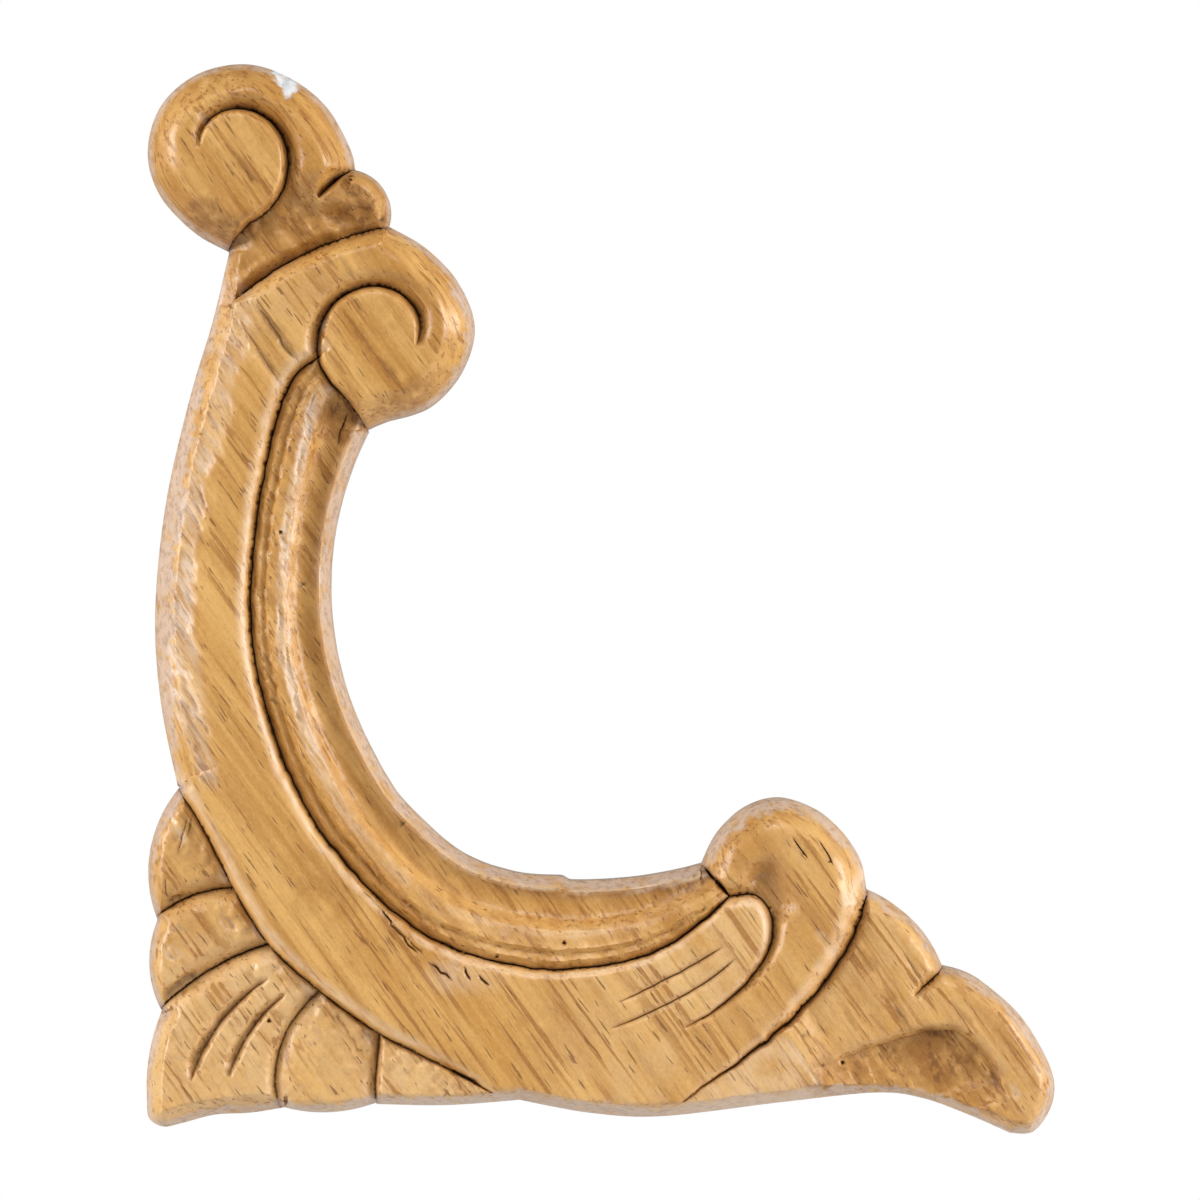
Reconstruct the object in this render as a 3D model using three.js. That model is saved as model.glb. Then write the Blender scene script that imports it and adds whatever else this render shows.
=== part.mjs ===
// Wooden corner onlay: one flat-backed piece of carved wood that is glued or pinned
// into the corner of a door, drawer front or frame.
//
// The carving is a relief. Its plan is a closed outline crossed by knife cuts, and each
// point of the plan has a height above the flat back. The plan is drawn in hundredths of
// the onlay's height, measured right and up from its outer corner. Heights and the widths
// of cuts and shoulders are real sizes in millimetres.
//
// Frame: +Z up, +X right, the front faces -Y and the flat back lies in the plane Y = 0.
import * as THREE from 'three';

// Driving dimensions, in millimetres
const HEIGHT = 120;
const FACET = 0.95;
const OPEN_FACET = 1.7;

// Heights of the carved surfaces above the back, in millimetres
const VOLUTE_TOP = 10;
const SCROLL_TOP = 9.6;
const BAND_TOP = 9.3;
const HOOK_TOP = 9.4;
const NECK_TOP = 7.3;
const BUD_TOP = 8.6;
const MOULDING_TOP = 9;
const LEAF_TOP = 7.8;
const LEAF_END_TOP = 8.8;
const TAIL_TOP = 7.8;
const TAIL_FACET_TOP = 9;

// Heights of the upright side wall, where the rounded edge begins
const SCROLL_WALL = 4.8;
const LEAF_WALL = 4.2;

// Heights of the bottoms of the cuts
const SCROLL_FLOOR = 7;
const NECK_FLOOR = 5.6;
const BAND_FLOOR = 6.9;
const LEAF_CUT_FLOOR = 6.9;
const LEAF_FLOOR = 6.1;
const TAIL_FLOOR = 5.8;
const MOULDING_BASE = 5;

// Depths of what is cut into one surface
const VEIN_DEPTH = 1.3;
const LINE_DEPTH = 0.5;
const SEAM_DEPTH = 0.35;
const HOLLOW_DEPTH = 1.7;
const DIP_DEPTH = 2;
const FOLD_DEPTH = 0.5;
const BUD_HOLLOW_DEPTH = 1;

// Widths of the rounded edges along the outline
const VOLUTE_EDGE = 4;
const SCROLL_EDGE = 3.6;
const BAND_EDGE = 6;
const MOULDING_EDGE = 1.2;
const LEAF_EDGE = 2;
const FOOT_EDGE = 1.6;

// Widths of the shoulders beside the cuts
const WIDE_SHOULDER = 3.2;
const ROLL_SHOULDER = 2.5;
const BAND_ROLL = 2.2;
const BAND_SHOULDER = 1.6;
const SHARP_SHOULDER = 0.9;
const LEAF_SLOPE = 1.7;
const SEAM_SLOPE = 3.4;
const LINE_SHOULDER = 0.6;
const HOLLOW_REACH = 12;
const HOLLOW_END_REACH = 8;

const PERCENT = HEIGHT / 100;
const DEGREE = Math.PI / 180;

// How closely the lines are followed, and how much room a point of the net needs
const LINE_STEP = 0.4;
const ROOM_ON_LINE = FACET * 0.5;
const ROOM = FACET * 0.62;
const OPEN_ROOM = FACET * 0.95;

// Where the net has rows of points, as shares of a shoulder, of half a gouge and of the
// way across the moulding
const HALFWAY_ROW = 0.4;
const ROWS_OVER_A_GOUGE = [0, 0.5, -0.5, 1, -1];
const ROWS_OVER_THE_MOULDING = [0.1, 0.17, 0.25, 0.34, 0.43, 0.57, 0.72, 0.87];

// How wide a shoulder still is where its cut has faded out, as a share of its width
const FADED_WIDTH = 0.35;

// The bud's place and reach, and the heights on the plan between which the volute sinks to
// the neck and the band rises to the scroll, in hundredths of the onlay's height
const BUD_X = 20;
const BUD_Y = 86.3;
const BUD_REACH = 3.6;
const NECK_END = 84;
const VOLUTE_START = 90;
const BAND_END = 64;
const SCROLL_START = 72;

// Where the leaf rises to its end on the foot, right of the outer corner, in hundredths of the
// onlay's height
const LEAF_RISE_START = 20;
const LEAF_RISE_END = 30;

// How far the tail takes to fall from its facet beside the hook, in millimetres
const FACET_FALL = 3.5;

// Where the rounding of the band's outer edge turns from steep to gentle: share of its width,
// and share of the climb
const WORN_TURN = 0.4;
const WORN_CLIMB = 0.78;

// Where the mount lies on the back, right of and above the outer corner
const MOUNT_X = 18.4 * PERCENT;
const MOUNT_Z = 18.4 * PERCENT;

const clamp01 = (t) => Math.min(1, Math.max(0, t));
const mix = (a, b, t) => a + (b - a) * t;

// How a shoulder climbs from a cut or a wall to the surface beside it
const round = (t) => clamp01(1 - (1 - t) ** 2);
const bevel = (t) => t;
const soft = (t) => t * t * (3 - 2 * t);
const sunken = (t) => t ** 6;
const worn = (t) => (t < WORN_TURN
  ? (t / WORN_TURN) * WORN_CLIMB
  : mix(WORN_CLIMB, 1, (t - WORN_TURN) / (1 - WORN_TURN)));

// A stretch of a line that turns about a centre while its radius goes from r0 to r1
function swirl(x, y, r0, r1, fromDegrees, toDegrees) {
  const turn = (toDegrees - fromDegrees) * DEGREE;
  const steps = Math.ceil(Math.abs(turn) * Math.max(r0, r1) * PERCENT / LINE_STEP);
  const points = [];
  for (let i = 0; i <= steps; i += 1) {
    const t = i / steps;
    const angle = fromDegrees * DEGREE + turn * t;
    const r = mix(r0, r1, t);
    points.push([(x + r * Math.cos(angle)) * PERCENT, (y + r * Math.sin(angle)) * PERCENT]);
  }
  return points;
}

// A stretch of a line that runs smoothly through the points given
function through(...points) {
  const curve = new THREE.SplineCurve(
    points.map(([x, y]) => new THREE.Vector2(x * PERCENT, y * PERCENT)),
  );
  const steps = Math.ceil(curve.getLength() / LINE_STEP);
  return curve.getSpacedPoints(steps).map((point) => [point.x, point.y]);
}

// The outline, clockwise from where the upper volute meets the outer edge of the band
const OUTLINE = [
  {
    name: 'upper volute',
    edge: VOLUTE_EDGE,
    wall: SCROLL_WALL,
    ease: round,
    line: through([7.7, 81.7], [4.2, 83.7], [1.1, 87.2], [0.1, 91.2], [1.4, 95.4], [4.8, 98.3],
      [9.3, 99.2], [13.4, 97.9], [16.8, 95.2], [18.9, 91.5], [19.4, 89.4]),
  },
  {
    name: 'bud',
    edge: LEAF_EDGE,
    wall: LEAF_WALL,
    ease: round,
    line: swirl(18.8, 85.2, 4.2, 3.9, 82, -17),
  },
  {
    name: 'middle scroll',
    edge: SCROLL_EDGE,
    wall: SCROLL_WALL,
    ease: round,
    line: through([22.7, 84], [26.1, 82], [29.1, 78.8], [30.6, 74.7], [29.4, 70.5], [26.4, 67.2],
      [22.2, 65.8], [20.6, 65.1]),
  },
  {
    name: 'inner edge',
    edge: MOULDING_EDGE,
    wall: SCROLL_WALL,
    ease: bevel,
    line: [...swirl(48.8, 50.7, 31.5, 31.8, 153, 208), ...through([20.8, 35.6], [22.2, 33],
      [24.1, 30.3], [29.1, 25.8], [34.2, 23.8], [38.8, 23.4])],
  },
  {
    name: 'inner edge of the foot',
    edge: MOULDING_EDGE,
    wall: SCROLL_WALL,
    ease: bevel,
    line: swirl(44.6, 64.6, 41.9, 40.7, -97, -80),
  },
  {
    name: 'hook',
    edge: SCROLL_EDGE,
    wall: SCROLL_WALL,
    ease: round,
    line: through([51.8, 24.5], [53.2, 27.3], [55.7, 29.7], [58.8, 30.7], [62.1, 29.8], [64.7, 27.8],
      [66.6, 25], [67.2, 22.2]),
  },
  {
    name: 'first lobe of the tail',
    edge: LEAF_EDGE,
    wall: LEAF_WALL,
    ease: round,
    line: swirl(66.1, 7.3, 14.8, 11.2, 85, 43),
  },
  {
    name: 'second lobe of the tail',
    edge: LEAF_EDGE,
    wall: LEAF_WALL,
    ease: round,
    line: through([74.3, 15], [77.4, 13.9], [81.6, 10.3], [84.4, 5.5], [84.6, 2.3], [82.9, -0.4],
      [80.7, -0.6]),
  },
  {
    name: 'foot',
    edge: FOOT_EDGE,
    wall: SCROLL_WALL,
    ease: bevel,
    line: through([80.7, -0.6], [76.6, 1.2], [72.4, 2.7], [68, 3.2], [59.2, 2.3], [48.2, 1],
      [41.5, 1.3], [34.9, 2.5]),
  },
  {
    name: 'fifth leaf lobe',
    edge: FOOT_EDGE,
    wall: LEAF_WALL,
    ease: round,
    line: through([34.9, 2.5], [28, 2], [21.5, 2.1]),
  },
  {
    name: 'fourth leaf lobe',
    edge: FOOT_EDGE,
    wall: LEAF_WALL,
    ease: round,
    line: swirl(14.5, 15.1, 14.6, 13.4, -62, -97),
  },
  {
    name: 'third leaf lobe',
    edge: LEAF_EDGE,
    wall: LEAF_WALL,
    ease: bevel,
    line: [...through([12.9, 1.8], [9.7, 1.3], [6.3, 1.1], [3.2, 0.3], [1.5, 0], [0.2, 0.8], [0, 2.5]),
      ...swirl(17.9, 0.8, 18, 19.3, 174, 149)],
  },
  {
    name: 'second leaf lobe',
    edge: LEAF_EDGE,
    wall: LEAF_WALL,
    ease: round,
    line: swirl(10.2, 13.3, 9.1, 11, -163, -213),
  },
  {
    name: 'first leaf lobe',
    edge: LEAF_EDGE,
    wall: LEAF_WALL,
    ease: round,
    line: swirl(11.9, 21.9, 11.2, 13.2, -167, -228),
  },
  {
    name: 'outer edge of the band',
    edge: BAND_EDGE,
    wall: SCROLL_WALL,
    ease: worn,
    line: through([2.9, 31.8], [1.3, 39.8], [0.8, 48.2], [1.8, 58.2], [4, 67.9], [6.2, 75.3], [7.7, 81.6]),
  },
];

// The knife cuts. A cut goes down to a floor, or by a depth into the surface beside it, and
// each side of it climbs back over a shoulder, whose width may change from end to end. Fade
// says how far from its start and its end the cut reaches full depth, in millimetres.
const CUTS = {
  volute: {
    floor: SCROLL_FLOOR,
    left: [ROLL_SHOULDER, ROLL_SHOULDER, round],
    right: [SHARP_SHOULDER, SHARP_SHOULDER, round],
    fade: [10, 0],
    line: [...swirl(7.7, 90.8, 2.6, 6.8, 170, -73), ...through([8.2, 82.7], [7.6, 81.6])],
  },
  bud: {
    floor: NECK_FLOOR,
    left: [SHARP_SHOULDER, SHARP_SHOULDER, round],
    right: [ROLL_SHOULDER, BAND_SHOULDER, round],
    fade: [0, 2.5],
    within: 'neck',
    line: through([19.6, 89.5], [18, 88.5], [16.6, 87.2], [16.1, 86.6]),
  },
  neck: {
    floor: NECK_FLOOR,
    left: [BAND_SHOULDER, BAND_SHOULDER, soft],
    right: [BAND_SHOULDER, ROLL_SHOULDER, round],
    fade: [2.5, 0],
    line: swirl(33.7, 58.3, 31.8, 27.9, 145, 113),
  },
  scroll: {
    floor: SCROLL_FLOOR,
    left: [SHARP_SHOULDER, SHARP_SHOULDER, round],
    right: [ROLL_SHOULDER, BAND_SHOULDER, round],
    fade: [4, 0],
    line: [...swirl(22.1, 73.6, 3.2, 6.4, -15, 205), ...through([17.3, 69.3], [19.1, 67.4], [20.7, 65])],
  },
  band: {
    floor: BAND_FLOOR,
    left: [LINE_SHOULDER, LINE_SHOULDER, round],
    right: [BAND_ROLL, SHARP_SHOULDER, round],
    fade: [0, 0],
    line: through([16.2, 71.8], [13.8, 69.8], [11.9, 64.8], [10.4, 56.5], [9.8, 49.2], [10.4, 42.8],
      [12.8, 34.4], [16.8, 27], [23.1, 20.2], [29.1, 16.6], [37.3, 14.8], [45.6, 15.8], [50.3, 18.1],
      [54.4, 21.6]),
  },
  mouldingEnd: {
    floor: SCROLL_FLOOR,
    left: [BAND_SHOULDER, SHARP_SHOULDER, round],
    right: [LINE_SHOULDER, LINE_SHOULDER, round],
    fade: [0, 0],
    line: through([51.6, 24.7], [53, 23.1], [54.4, 21.6]),
  },
  leaf: {
    floor: LEAF_CUT_FLOOR,
    left: [BAND_ROLL, BAND_SHOULDER, round],
    right: [SHARP_SHOULDER, LINE_SHOULDER, round],
    fade: [0, 12],
    line: through([2.8, 31.9], [5.2, 28.2], [8.1, 22.5], [11.4, 17.2], [16.2, 12.8], [21.8, 8.8],
      [28, 5.7], [32.6, 3.2]),
  },
  firstLobe: {
    floor: LEAF_FLOOR,
    left: [LEAF_SLOPE, LEAF_SLOPE, round],
    right: [ROLL_SHOULDER, ROLL_SHOULDER, round],
    fade: [0, 0],
    within: 'leaf',
    line: swirl(5.6, 10, 10.7, 12.6, 116, 79),
  },
  secondLobe: {
    floor: LEAF_FLOOR,
    left: [LEAF_SLOPE, LEAF_SLOPE, round],
    right: [ROLL_SHOULDER, ROLL_SHOULDER, round],
    fade: [0, 0],
    within: 'leaf',
    line: swirl(14.9, -6.9, 22.5, 24.3, 127, 98),
  },
  thirdLobe: {
    floor: LEAF_FLOOR,
    left: [LEAF_SLOPE, BAND_SHOULDER, round],
    right: [WIDE_SHOULDER, ROLL_SHOULDER, round],
    fade: [0, 0],
    within: 'leaf',
    line: swirl(20.5, -0.3, 8.2, 13.8, 166, 108),
  },
  fourthLobe: {
    floor: LEAF_FLOOR,
    left: [ROLL_SHOULDER, ROLL_SHOULDER, round],
    right: [SHARP_SHOULDER, SHARP_SHOULDER, round],
    fade: [0, 0],
    within: 'leaf',
    line: through([21.5, 2], [21.4, 4.1], [21.8, 8.8]),
  },
  upperVein: {
    depth: VEIN_DEPTH,
    left: [BAND_SHOULDER, SHARP_SHOULDER, soft],
    right: [SHARP_SHOULDER, LINE_SHOULDER, round],
    fade: [2, 4],
    within: 'leaf',
    line: swirl(16.8, -4.4, 15.3, 19.1, 145, 106),
  },
  lowerVein: {
    depth: VEIN_DEPTH,
    left: [BAND_SHOULDER, SHARP_SHOULDER, soft],
    right: [SHARP_SHOULDER, LINE_SHOULDER, round],
    fade: [2, 4],
    within: 'leaf',
    line: swirl(17.8, -4.6, 13.7, 17.8, 137, 105),
  },
  hook: {
    floor: TAIL_FLOOR,
    left: [SHARP_SHOULDER, LINE_SHOULDER, soft],
    right: [WIDE_SHOULDER, SHARP_SHOULDER, round],
    fade: [0, 22],
    line: through([67.3, 22.3], [66.5, 19.4], [64.8, 15.8], [62.1, 12.2], [58.4, 8.6], [54.8, 6],
      [50.3, 2.8], [48.6, 1.4]),
  },
  thumb: {
    floor: SCROLL_FLOOR,
    left: [ROLL_SHOULDER, SHARP_SHOULDER, round],
    right: [BAND_SHOULDER, SHARP_SHOULDER, round],
    fade: [0, 16],
    line: through([54.4, 21.6], [56.8, 21.7], [58.3, 19.7], [58.1, 16.8], [56, 13.6], [52.8, 10.9],
      [50.1, 9.4]),
  },
  upperLine: {
    depth: LINE_DEPTH,
    left: [LINE_SHOULDER, LINE_SHOULDER, bevel],
    right: [LINE_SHOULDER, LINE_SHOULDER, bevel],
    fade: [2, 3],
    line: through([53.7, 16.9], [49.2, 14.3], [43.9, 11.7]),
  },
  lowerLine: {
    depth: LINE_DEPTH,
    left: [LINE_SHOULDER, LINE_SHOULDER, bevel],
    right: [LINE_SHOULDER, LINE_SHOULDER, bevel],
    fade: [2, 3],
    line: through([54.9, 15.8], [51.6, 13.3], [46.8, 10.8], [43.2, 9.3]),
  },
  tailLobe: {
    floor: TAIL_FLOOR,
    left: [BAND_SHOULDER, BAND_SHOULDER, round],
    right: [BAND_SHOULDER, BAND_SHOULDER, round],
    fade: [0, 2.5],
    within: 'tail',
    line: through([74.4, 15], [73.2, 13.8], [71.5, 12.2]),
  },
  tailHollow: {
    depth: HOLLOW_DEPTH,
    left: [SHARP_SHOULDER, SHARP_SHOULDER, round],
    right: [HOLLOW_REACH, HOLLOW_END_REACH, sunken],
    fade: [5, 3],
    within: 'tail',
    line: through([61.6, 5.3], [67, 7.3], [73.7, 9], [77, 8], [79, 5.3], [80.4, 2.6]),
  },
  seam: {
    depth: SEAM_DEPTH,
    left: [SEAM_SLOPE, SEAM_SLOPE, soft],
    right: [SHARP_SHOULDER, SHARP_SHOULDER, soft],
    fade: [3, 0],
    within: 'band',
    line: through([7.8, 76], [10, 73.3], [12.6, 69.2]),
  },
};

// Hollows scooped with a gouge, which fade out over the last millimetres at their ends
const GOUGES = [
  {
    name: 'dip of the hook',
    half: 3,
    depth: DIP_DEPTH,
    ends: 3,
    within: 'hook',
    line: through([56.6, 25], [58, 22.2], [59.4, 19]),
  },
  {
    name: 'fold of the volute',
    half: 1.3,
    depth: FOLD_DEPTH,
    ends: 3,
    within: 'neck',
    line: through([10.5, 97.2], [15.5, 94.3], [17.4, 91.3], [17.9, 88.6]),
  },
  {
    name: 'fold of the scroll',
    half: 1.2,
    depth: FOLD_DEPTH,
    ends: 3,
    within: 'band',
    line: through([24, 81.6], [27.4, 78.6], [28.6, 75.2], [28.1, 71.7], [25.6, 68.6]),
  },
  {
    name: 'hollow of the bud',
    half: 1.8,
    depth: BUD_HOLLOW_DEPTH,
    ends: 1.5,
    within: 'neck',
    line: through([16.4, 84.6], [19.7, 85], [22, 85]),
  },
];

// The crease in the tail where it begins to fall away from the hook
const CREASE = [[59.8, 8.7], [62.8, 4.2]].map(([x, y]) => [x * PERCENT, y * PERCENT]);

// Section of the inner moulding from the cut to the arris: share of the way across, and
// share of the climb from its base to the top of the roll
const MOULDING_SECTION = [
  [0, 0.68], [0.1, 0.93], [0.17, 0.84], [0.25, 1], [0.34, 0.93], [0.43, 0.86], [0.57, 0.46],
  [0.72, 0.39], [0.82, 0.43], [0.87, 0.6], [1, 0.62],
];

// Areas of the plan that differ in height. Their loops follow the cuts between them, and
// run free outside the outline.
const out = (x, y) => [x * PERCENT, y * PERCENT];
const AREAS = {
  neck: [...CUTS.neck.line, out(30, 84), out(30, 105), out(-5, 105), out(-5, 76)],
  eye: [...CUTS.volute.line, out(7.5, 80), out(-5, 80), out(-5, 91)],
  moulding: [...CUTS.band.line, out(51.6, 24.9), out(48, 35), out(35, 50), out(33, 65),
    ...CUTS.scroll.line.slice(Math.round(CUTS.scroll.line.length * 0.6)).reverse()],
  leaf: [...CUTS.leaf.line, out(34.5, 2.4), out(34.5, -5), out(-5, -5), out(-5, 31.9)],
  tail: [...CUTS.hook.line, out(48, -5), out(92, -5), out(92, 25), out(67.5, 25)],
  hook: [...CUTS.thumb.line, out(48.6, 1.4), ...[...CUTS.hook.line].reverse(), out(75, 25),
    out(75, 38), out(45, 38), out(51.6, 24.8), out(53, 23.1)],
};

function insideLoop(x, y, loop) {
  let inside = false;
  for (let i = 0, j = loop.length - 1; i < loop.length; j = i, i += 1) {
    const [xi, yi] = loop[i];
    const [xj, yj] = loop[j];
    if ((yi > y) !== (yj > y) && x < xi + ((y - yi) * (xj - xi)) / (yj - yi)) {
      inside = !inside;
    }
  }
  return inside;
}

// The nearest point of a line: how far it is, on which side (1 left, -1 right) and how far
// along the line it lies
function nearest(x, y, line) {
  let best = { distance: Infinity };
  let before = 0;
  for (let i = 0; i + 1 < line.length; i += 1) {
    const [ax, ay] = line[i];
    const dx = line[i + 1][0] - ax;
    const dy = line[i + 1][1] - ay;
    const length = Math.hypot(dx, dy);
    if (length > 0) {
      const t = clamp01(((x - ax) * dx + (y - ay) * dy) / length ** 2);
      const px = ax + t * dx;
      const py = ay + t * dy;
      const distance = Math.hypot(x - px, y - py);
      if (distance < best.distance) {
        const side = dx * (y - ay) - dy * (x - ax) >= 0 ? 1 : -1;
        best = { distance, side, x: px, y: py, along: before + t * length, segment: i };
      }
    }
    before += length;
  }
  best.length = before;
  return best;
}

function areaOf(x, y) {
  const names = ['neck', 'moulding', 'leaf', 'tail', 'hook'];
  return names.find((name) => insideLoop(x, y, AREAS[name])) ?? 'band';
}

// Height of the surface before anything is cut into it
function surface(x, y, area) {
  if (area === 'moulding') {
    const fromCut = nearest(x, y, CUTS.band.line).distance;
    const fromEdge = nearest(x, y, INNER_EDGE).distance;
    const across = fromCut / Math.max(fromCut + fromEdge, 1e-6);
    const next = MOULDING_SECTION.findIndex(([t]) => t >= across);
    const [t1, h1] = MOULDING_SECTION[Math.max(next, 1)];
    const [t0, h0] = MOULDING_SECTION[Math.max(next, 1) - 1];
    return mix(MOULDING_BASE, MOULDING_TOP, mix(h0, h1, (across - t0) / (t1 - t0)));
  }
  if (area === 'neck') {
    if (insideLoop(x, y, AREAS.eye)) return VOLUTE_TOP;
    const rise = clamp01((y / PERCENT - NECK_END) / (VOLUTE_START - NECK_END));
    const slope = mix(NECK_TOP, VOLUTE_TOP, soft(rise));
    const fromBud = Math.hypot(x / PERCENT - BUD_X, y / PERCENT - BUD_Y) / BUD_REACH;
    return Math.max(slope, mix(LEAF_WALL, BUD_TOP, round(clamp01(1 - fromBud))));
  }
  if (area === 'leaf') {
    const rise = clamp01((x / PERCENT - LEAF_RISE_START) / (LEAF_RISE_END - LEAF_RISE_START));
    return mix(LEAF_TOP, LEAF_END_TOP, soft(rise));
  }
  if (area === 'tail') {
    const fromCrease = nearest(x, y, CREASE);
    return mix(TAIL_FACET_TOP, TAIL_TOP, clamp01((fromCrease.side * fromCrease.distance) / FACET_FALL));
  }
  if (area === 'hook') return HOOK_TOP;
  const rise = clamp01((y / PERCENT - BAND_END) / (SCROLL_START - BAND_END));
  return mix(BAND_TOP, SCROLL_TOP, soft(rise));
}

const INNER_EDGE = OUTLINE.filter((part) => part.name.startsWith('inner edge')).flatMap((part) => part.line);
const RING = OUTLINE.flatMap((part) => part.line);
const RING_PARTS = OUTLINE.flatMap((part) => part.line.map(() => part));
const CLOSED_RING = [...RING, RING[0]];

// Height of the finished carving above the back
function relief(x, y) {
  const area = areaOf(x, y);
  let top = surface(x, y, area);
  for (const gouge of GOUGES) {
    if (gouge.within === area) {
      const near = nearest(x, y, gouge.line);
      const fromEnd = Math.min(near.along, near.length - near.along);
      const reach = clamp01(1 - (near.distance / gouge.half) ** 2) ** 2;
      top -= gouge.depth * reach * clamp01(fromEnd / gouge.ends);
    }
  }
  let height = top;
  for (const cut of Object.values(CUTS)) {
    if (!cut.within || cut.within === area) {
      const near = nearest(x, y, cut.line);
      const fadeIn = cut.fade[0] ? Math.sqrt(clamp01(near.along / cut.fade[0])) : 1;
      const fadeOut = cut.fade[1] ? Math.sqrt(clamp01((near.length - near.along) / cut.fade[1])) : 1;
      const full = Math.min(fadeIn, fadeOut);
      const [startWidth, endWidth, ease] = near.side > 0 ? cut.left : cut.right;
      const width = mix(startWidth, endWidth, near.along / near.length) * mix(FADED_WIDTH, 1, full);
      if (near.distance < width) {
        const floor = Math.min(cut.floor ?? top - cut.depth, top);
        height = Math.min(height, mix(mix(top, floor, full), top, ease(near.distance / width)));
      }
    }
  }
  const rim = nearest(x, y, CLOSED_RING);
  const part = RING_PARTS[rim.segment];
  if (rim.distance < part.edge) {
    const wall = Math.min(part.wall, height);
    height = Math.min(height, mix(wall, top, part.ease(rim.distance / part.edge)));
  }
  return height;
}

// Points along a line, an even step apart
function evenly(line, step) {
  const total = nearest(...line.at(-1), line).length;
  const count = Math.max(1, Math.round(total / step));
  const points = [line[0]];
  let [before, i] = [0, 0];
  for (let k = 1; k <= count; k += 1) {
    const goal = (total * k) / count;
    let length = Math.hypot(line[i + 1][0] - line[i][0], line[i + 1][1] - line[i][1]);
    while (before + length < goal && i + 2 < line.length) {
      before += length;
      i += 1;
      length = Math.hypot(line[i + 1][0] - line[i][0], line[i + 1][1] - line[i][1]);
    }
    const t = clamp01((goal - before) / length);
    points.push([mix(line[i][0], line[i + 1][0], t), mix(line[i][1], line[i + 1][1], t)]);
  }
  return points;
}

// A row of points beside a line, on its left where the distance is positive. The distance
// is a function of the share of the way along.
function beside(line, distance) {
  const points = evenly(line, FACET);
  return points.map(([x, y], i) => {
    const [ax, ay] = points[Math.max(i - 1, 0)];
    const [bx, by] = points[Math.min(i + 1, points.length - 1)];
    const length = Math.hypot(bx - ax, by - ay);
    const away = distance(i / (points.length - 1));
    return [x - ((by - ay) / length) * away, y + ((bx - ax) / length) * away];
  });
}

// A row of points that keeps the same share of the way across the moulding
function alongMoulding(share) {
  return evenly(INNER_EDGE, FACET).map(([x, y]) => {
    const near = nearest(x, y, CUTS.band.line);
    return [mix(near.x, x, share), mix(near.y, y, share)];
  });
}

// The rows over the rounded edges and shoulders: at their outer ends, or part of the way
function shoulderRows(share, room) {
  const rows = OUTLINE.map(({ line, edge }) => ({ points: beside(line, () => -edge * share), room }));
  for (const { line, left, right } of Object.values(CUTS)) {
    const onLeft = beside(line, (t) => mix(left[0], left[1], t) * share);
    const onRight = beside(line, (t) => -mix(right[0], right[1], t) * share);
    if (left[0] * share > room) rows.push({ points: onLeft, room });
    if (right[0] * share > room) rows.push({ points: onRight, room });
  }
  return rows;
}

// Even rows over the whole plan
function openRows() {
  const xs = RING.map(([x]) => x);
  const ys = RING.map(([, y]) => y);
  const [left, right, low, high] = [Math.min(...xs), Math.max(...xs), Math.min(...ys), Math.max(...ys)];
  const rowHeight = (OPEN_FACET * Math.sqrt(3)) / 2;
  const rows = [];
  for (let row = 0; low + row * rowHeight < high; row += 1) {
    const points = [];
    for (let x = left + (row % 2) * OPEN_FACET / 2; x < right; x += OPEN_FACET) {
      points.push([x, low + row * rowHeight]);
    }
    rows.push({ points, room: OPEN_ROOM });
  }
  return rows;
}

// The points of the net: first those of the outline and the cuts, then the rows beside them
// that shape the rounded edges, shoulders, moulding and gouges, then even rows over what is
// left. A point that comes too close to an earlier one is left out.
function netPoints() {
  const rim = OUTLINE.flatMap(({ line }) => evenly(line, FACET));
  const rows = [
    ...Object.values(CUTS).map(({ line }) => ({ points: evenly(line, FACET), room: ROOM_ON_LINE })),
    { points: evenly(CREASE, FACET), room: ROOM_ON_LINE },
    ...shoulderRows(1, ROOM_ON_LINE),
    ...ROWS_OVER_THE_MOULDING.map((share) => ({ points: alongMoulding(share), room: ROOM })),
    ...shoulderRows(HALFWAY_ROW, ROOM),
    ...ROWS_OVER_A_GOUGE.flatMap((share) => GOUGES.map(({ line, half }) => (
      { points: beside(line, () => half * share), room: ROOM }))),
    ...openRows(),
  ];
  const points = [];
  const isFree = (x, y, room) => !points.some((other) => (
    Math.abs(other.x - x) < room && Math.hypot(other.x - x, other.y - y) < room));
  for (const [x, y] of rim) {
    if (isFree(x, y, ROOM_ON_LINE)) points.push({ x, y });
  }
  for (const { points: row, room } of rows) {
    for (const [x, y] of row) {
      const inside = insideLoop(x, y, RING) && nearest(x, y, CLOSED_RING).distance > ROOM_ON_LINE;
      if (inside && isFree(x, y, room)) points.push({ x, y });
    }
  }
  return points;
}

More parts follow.
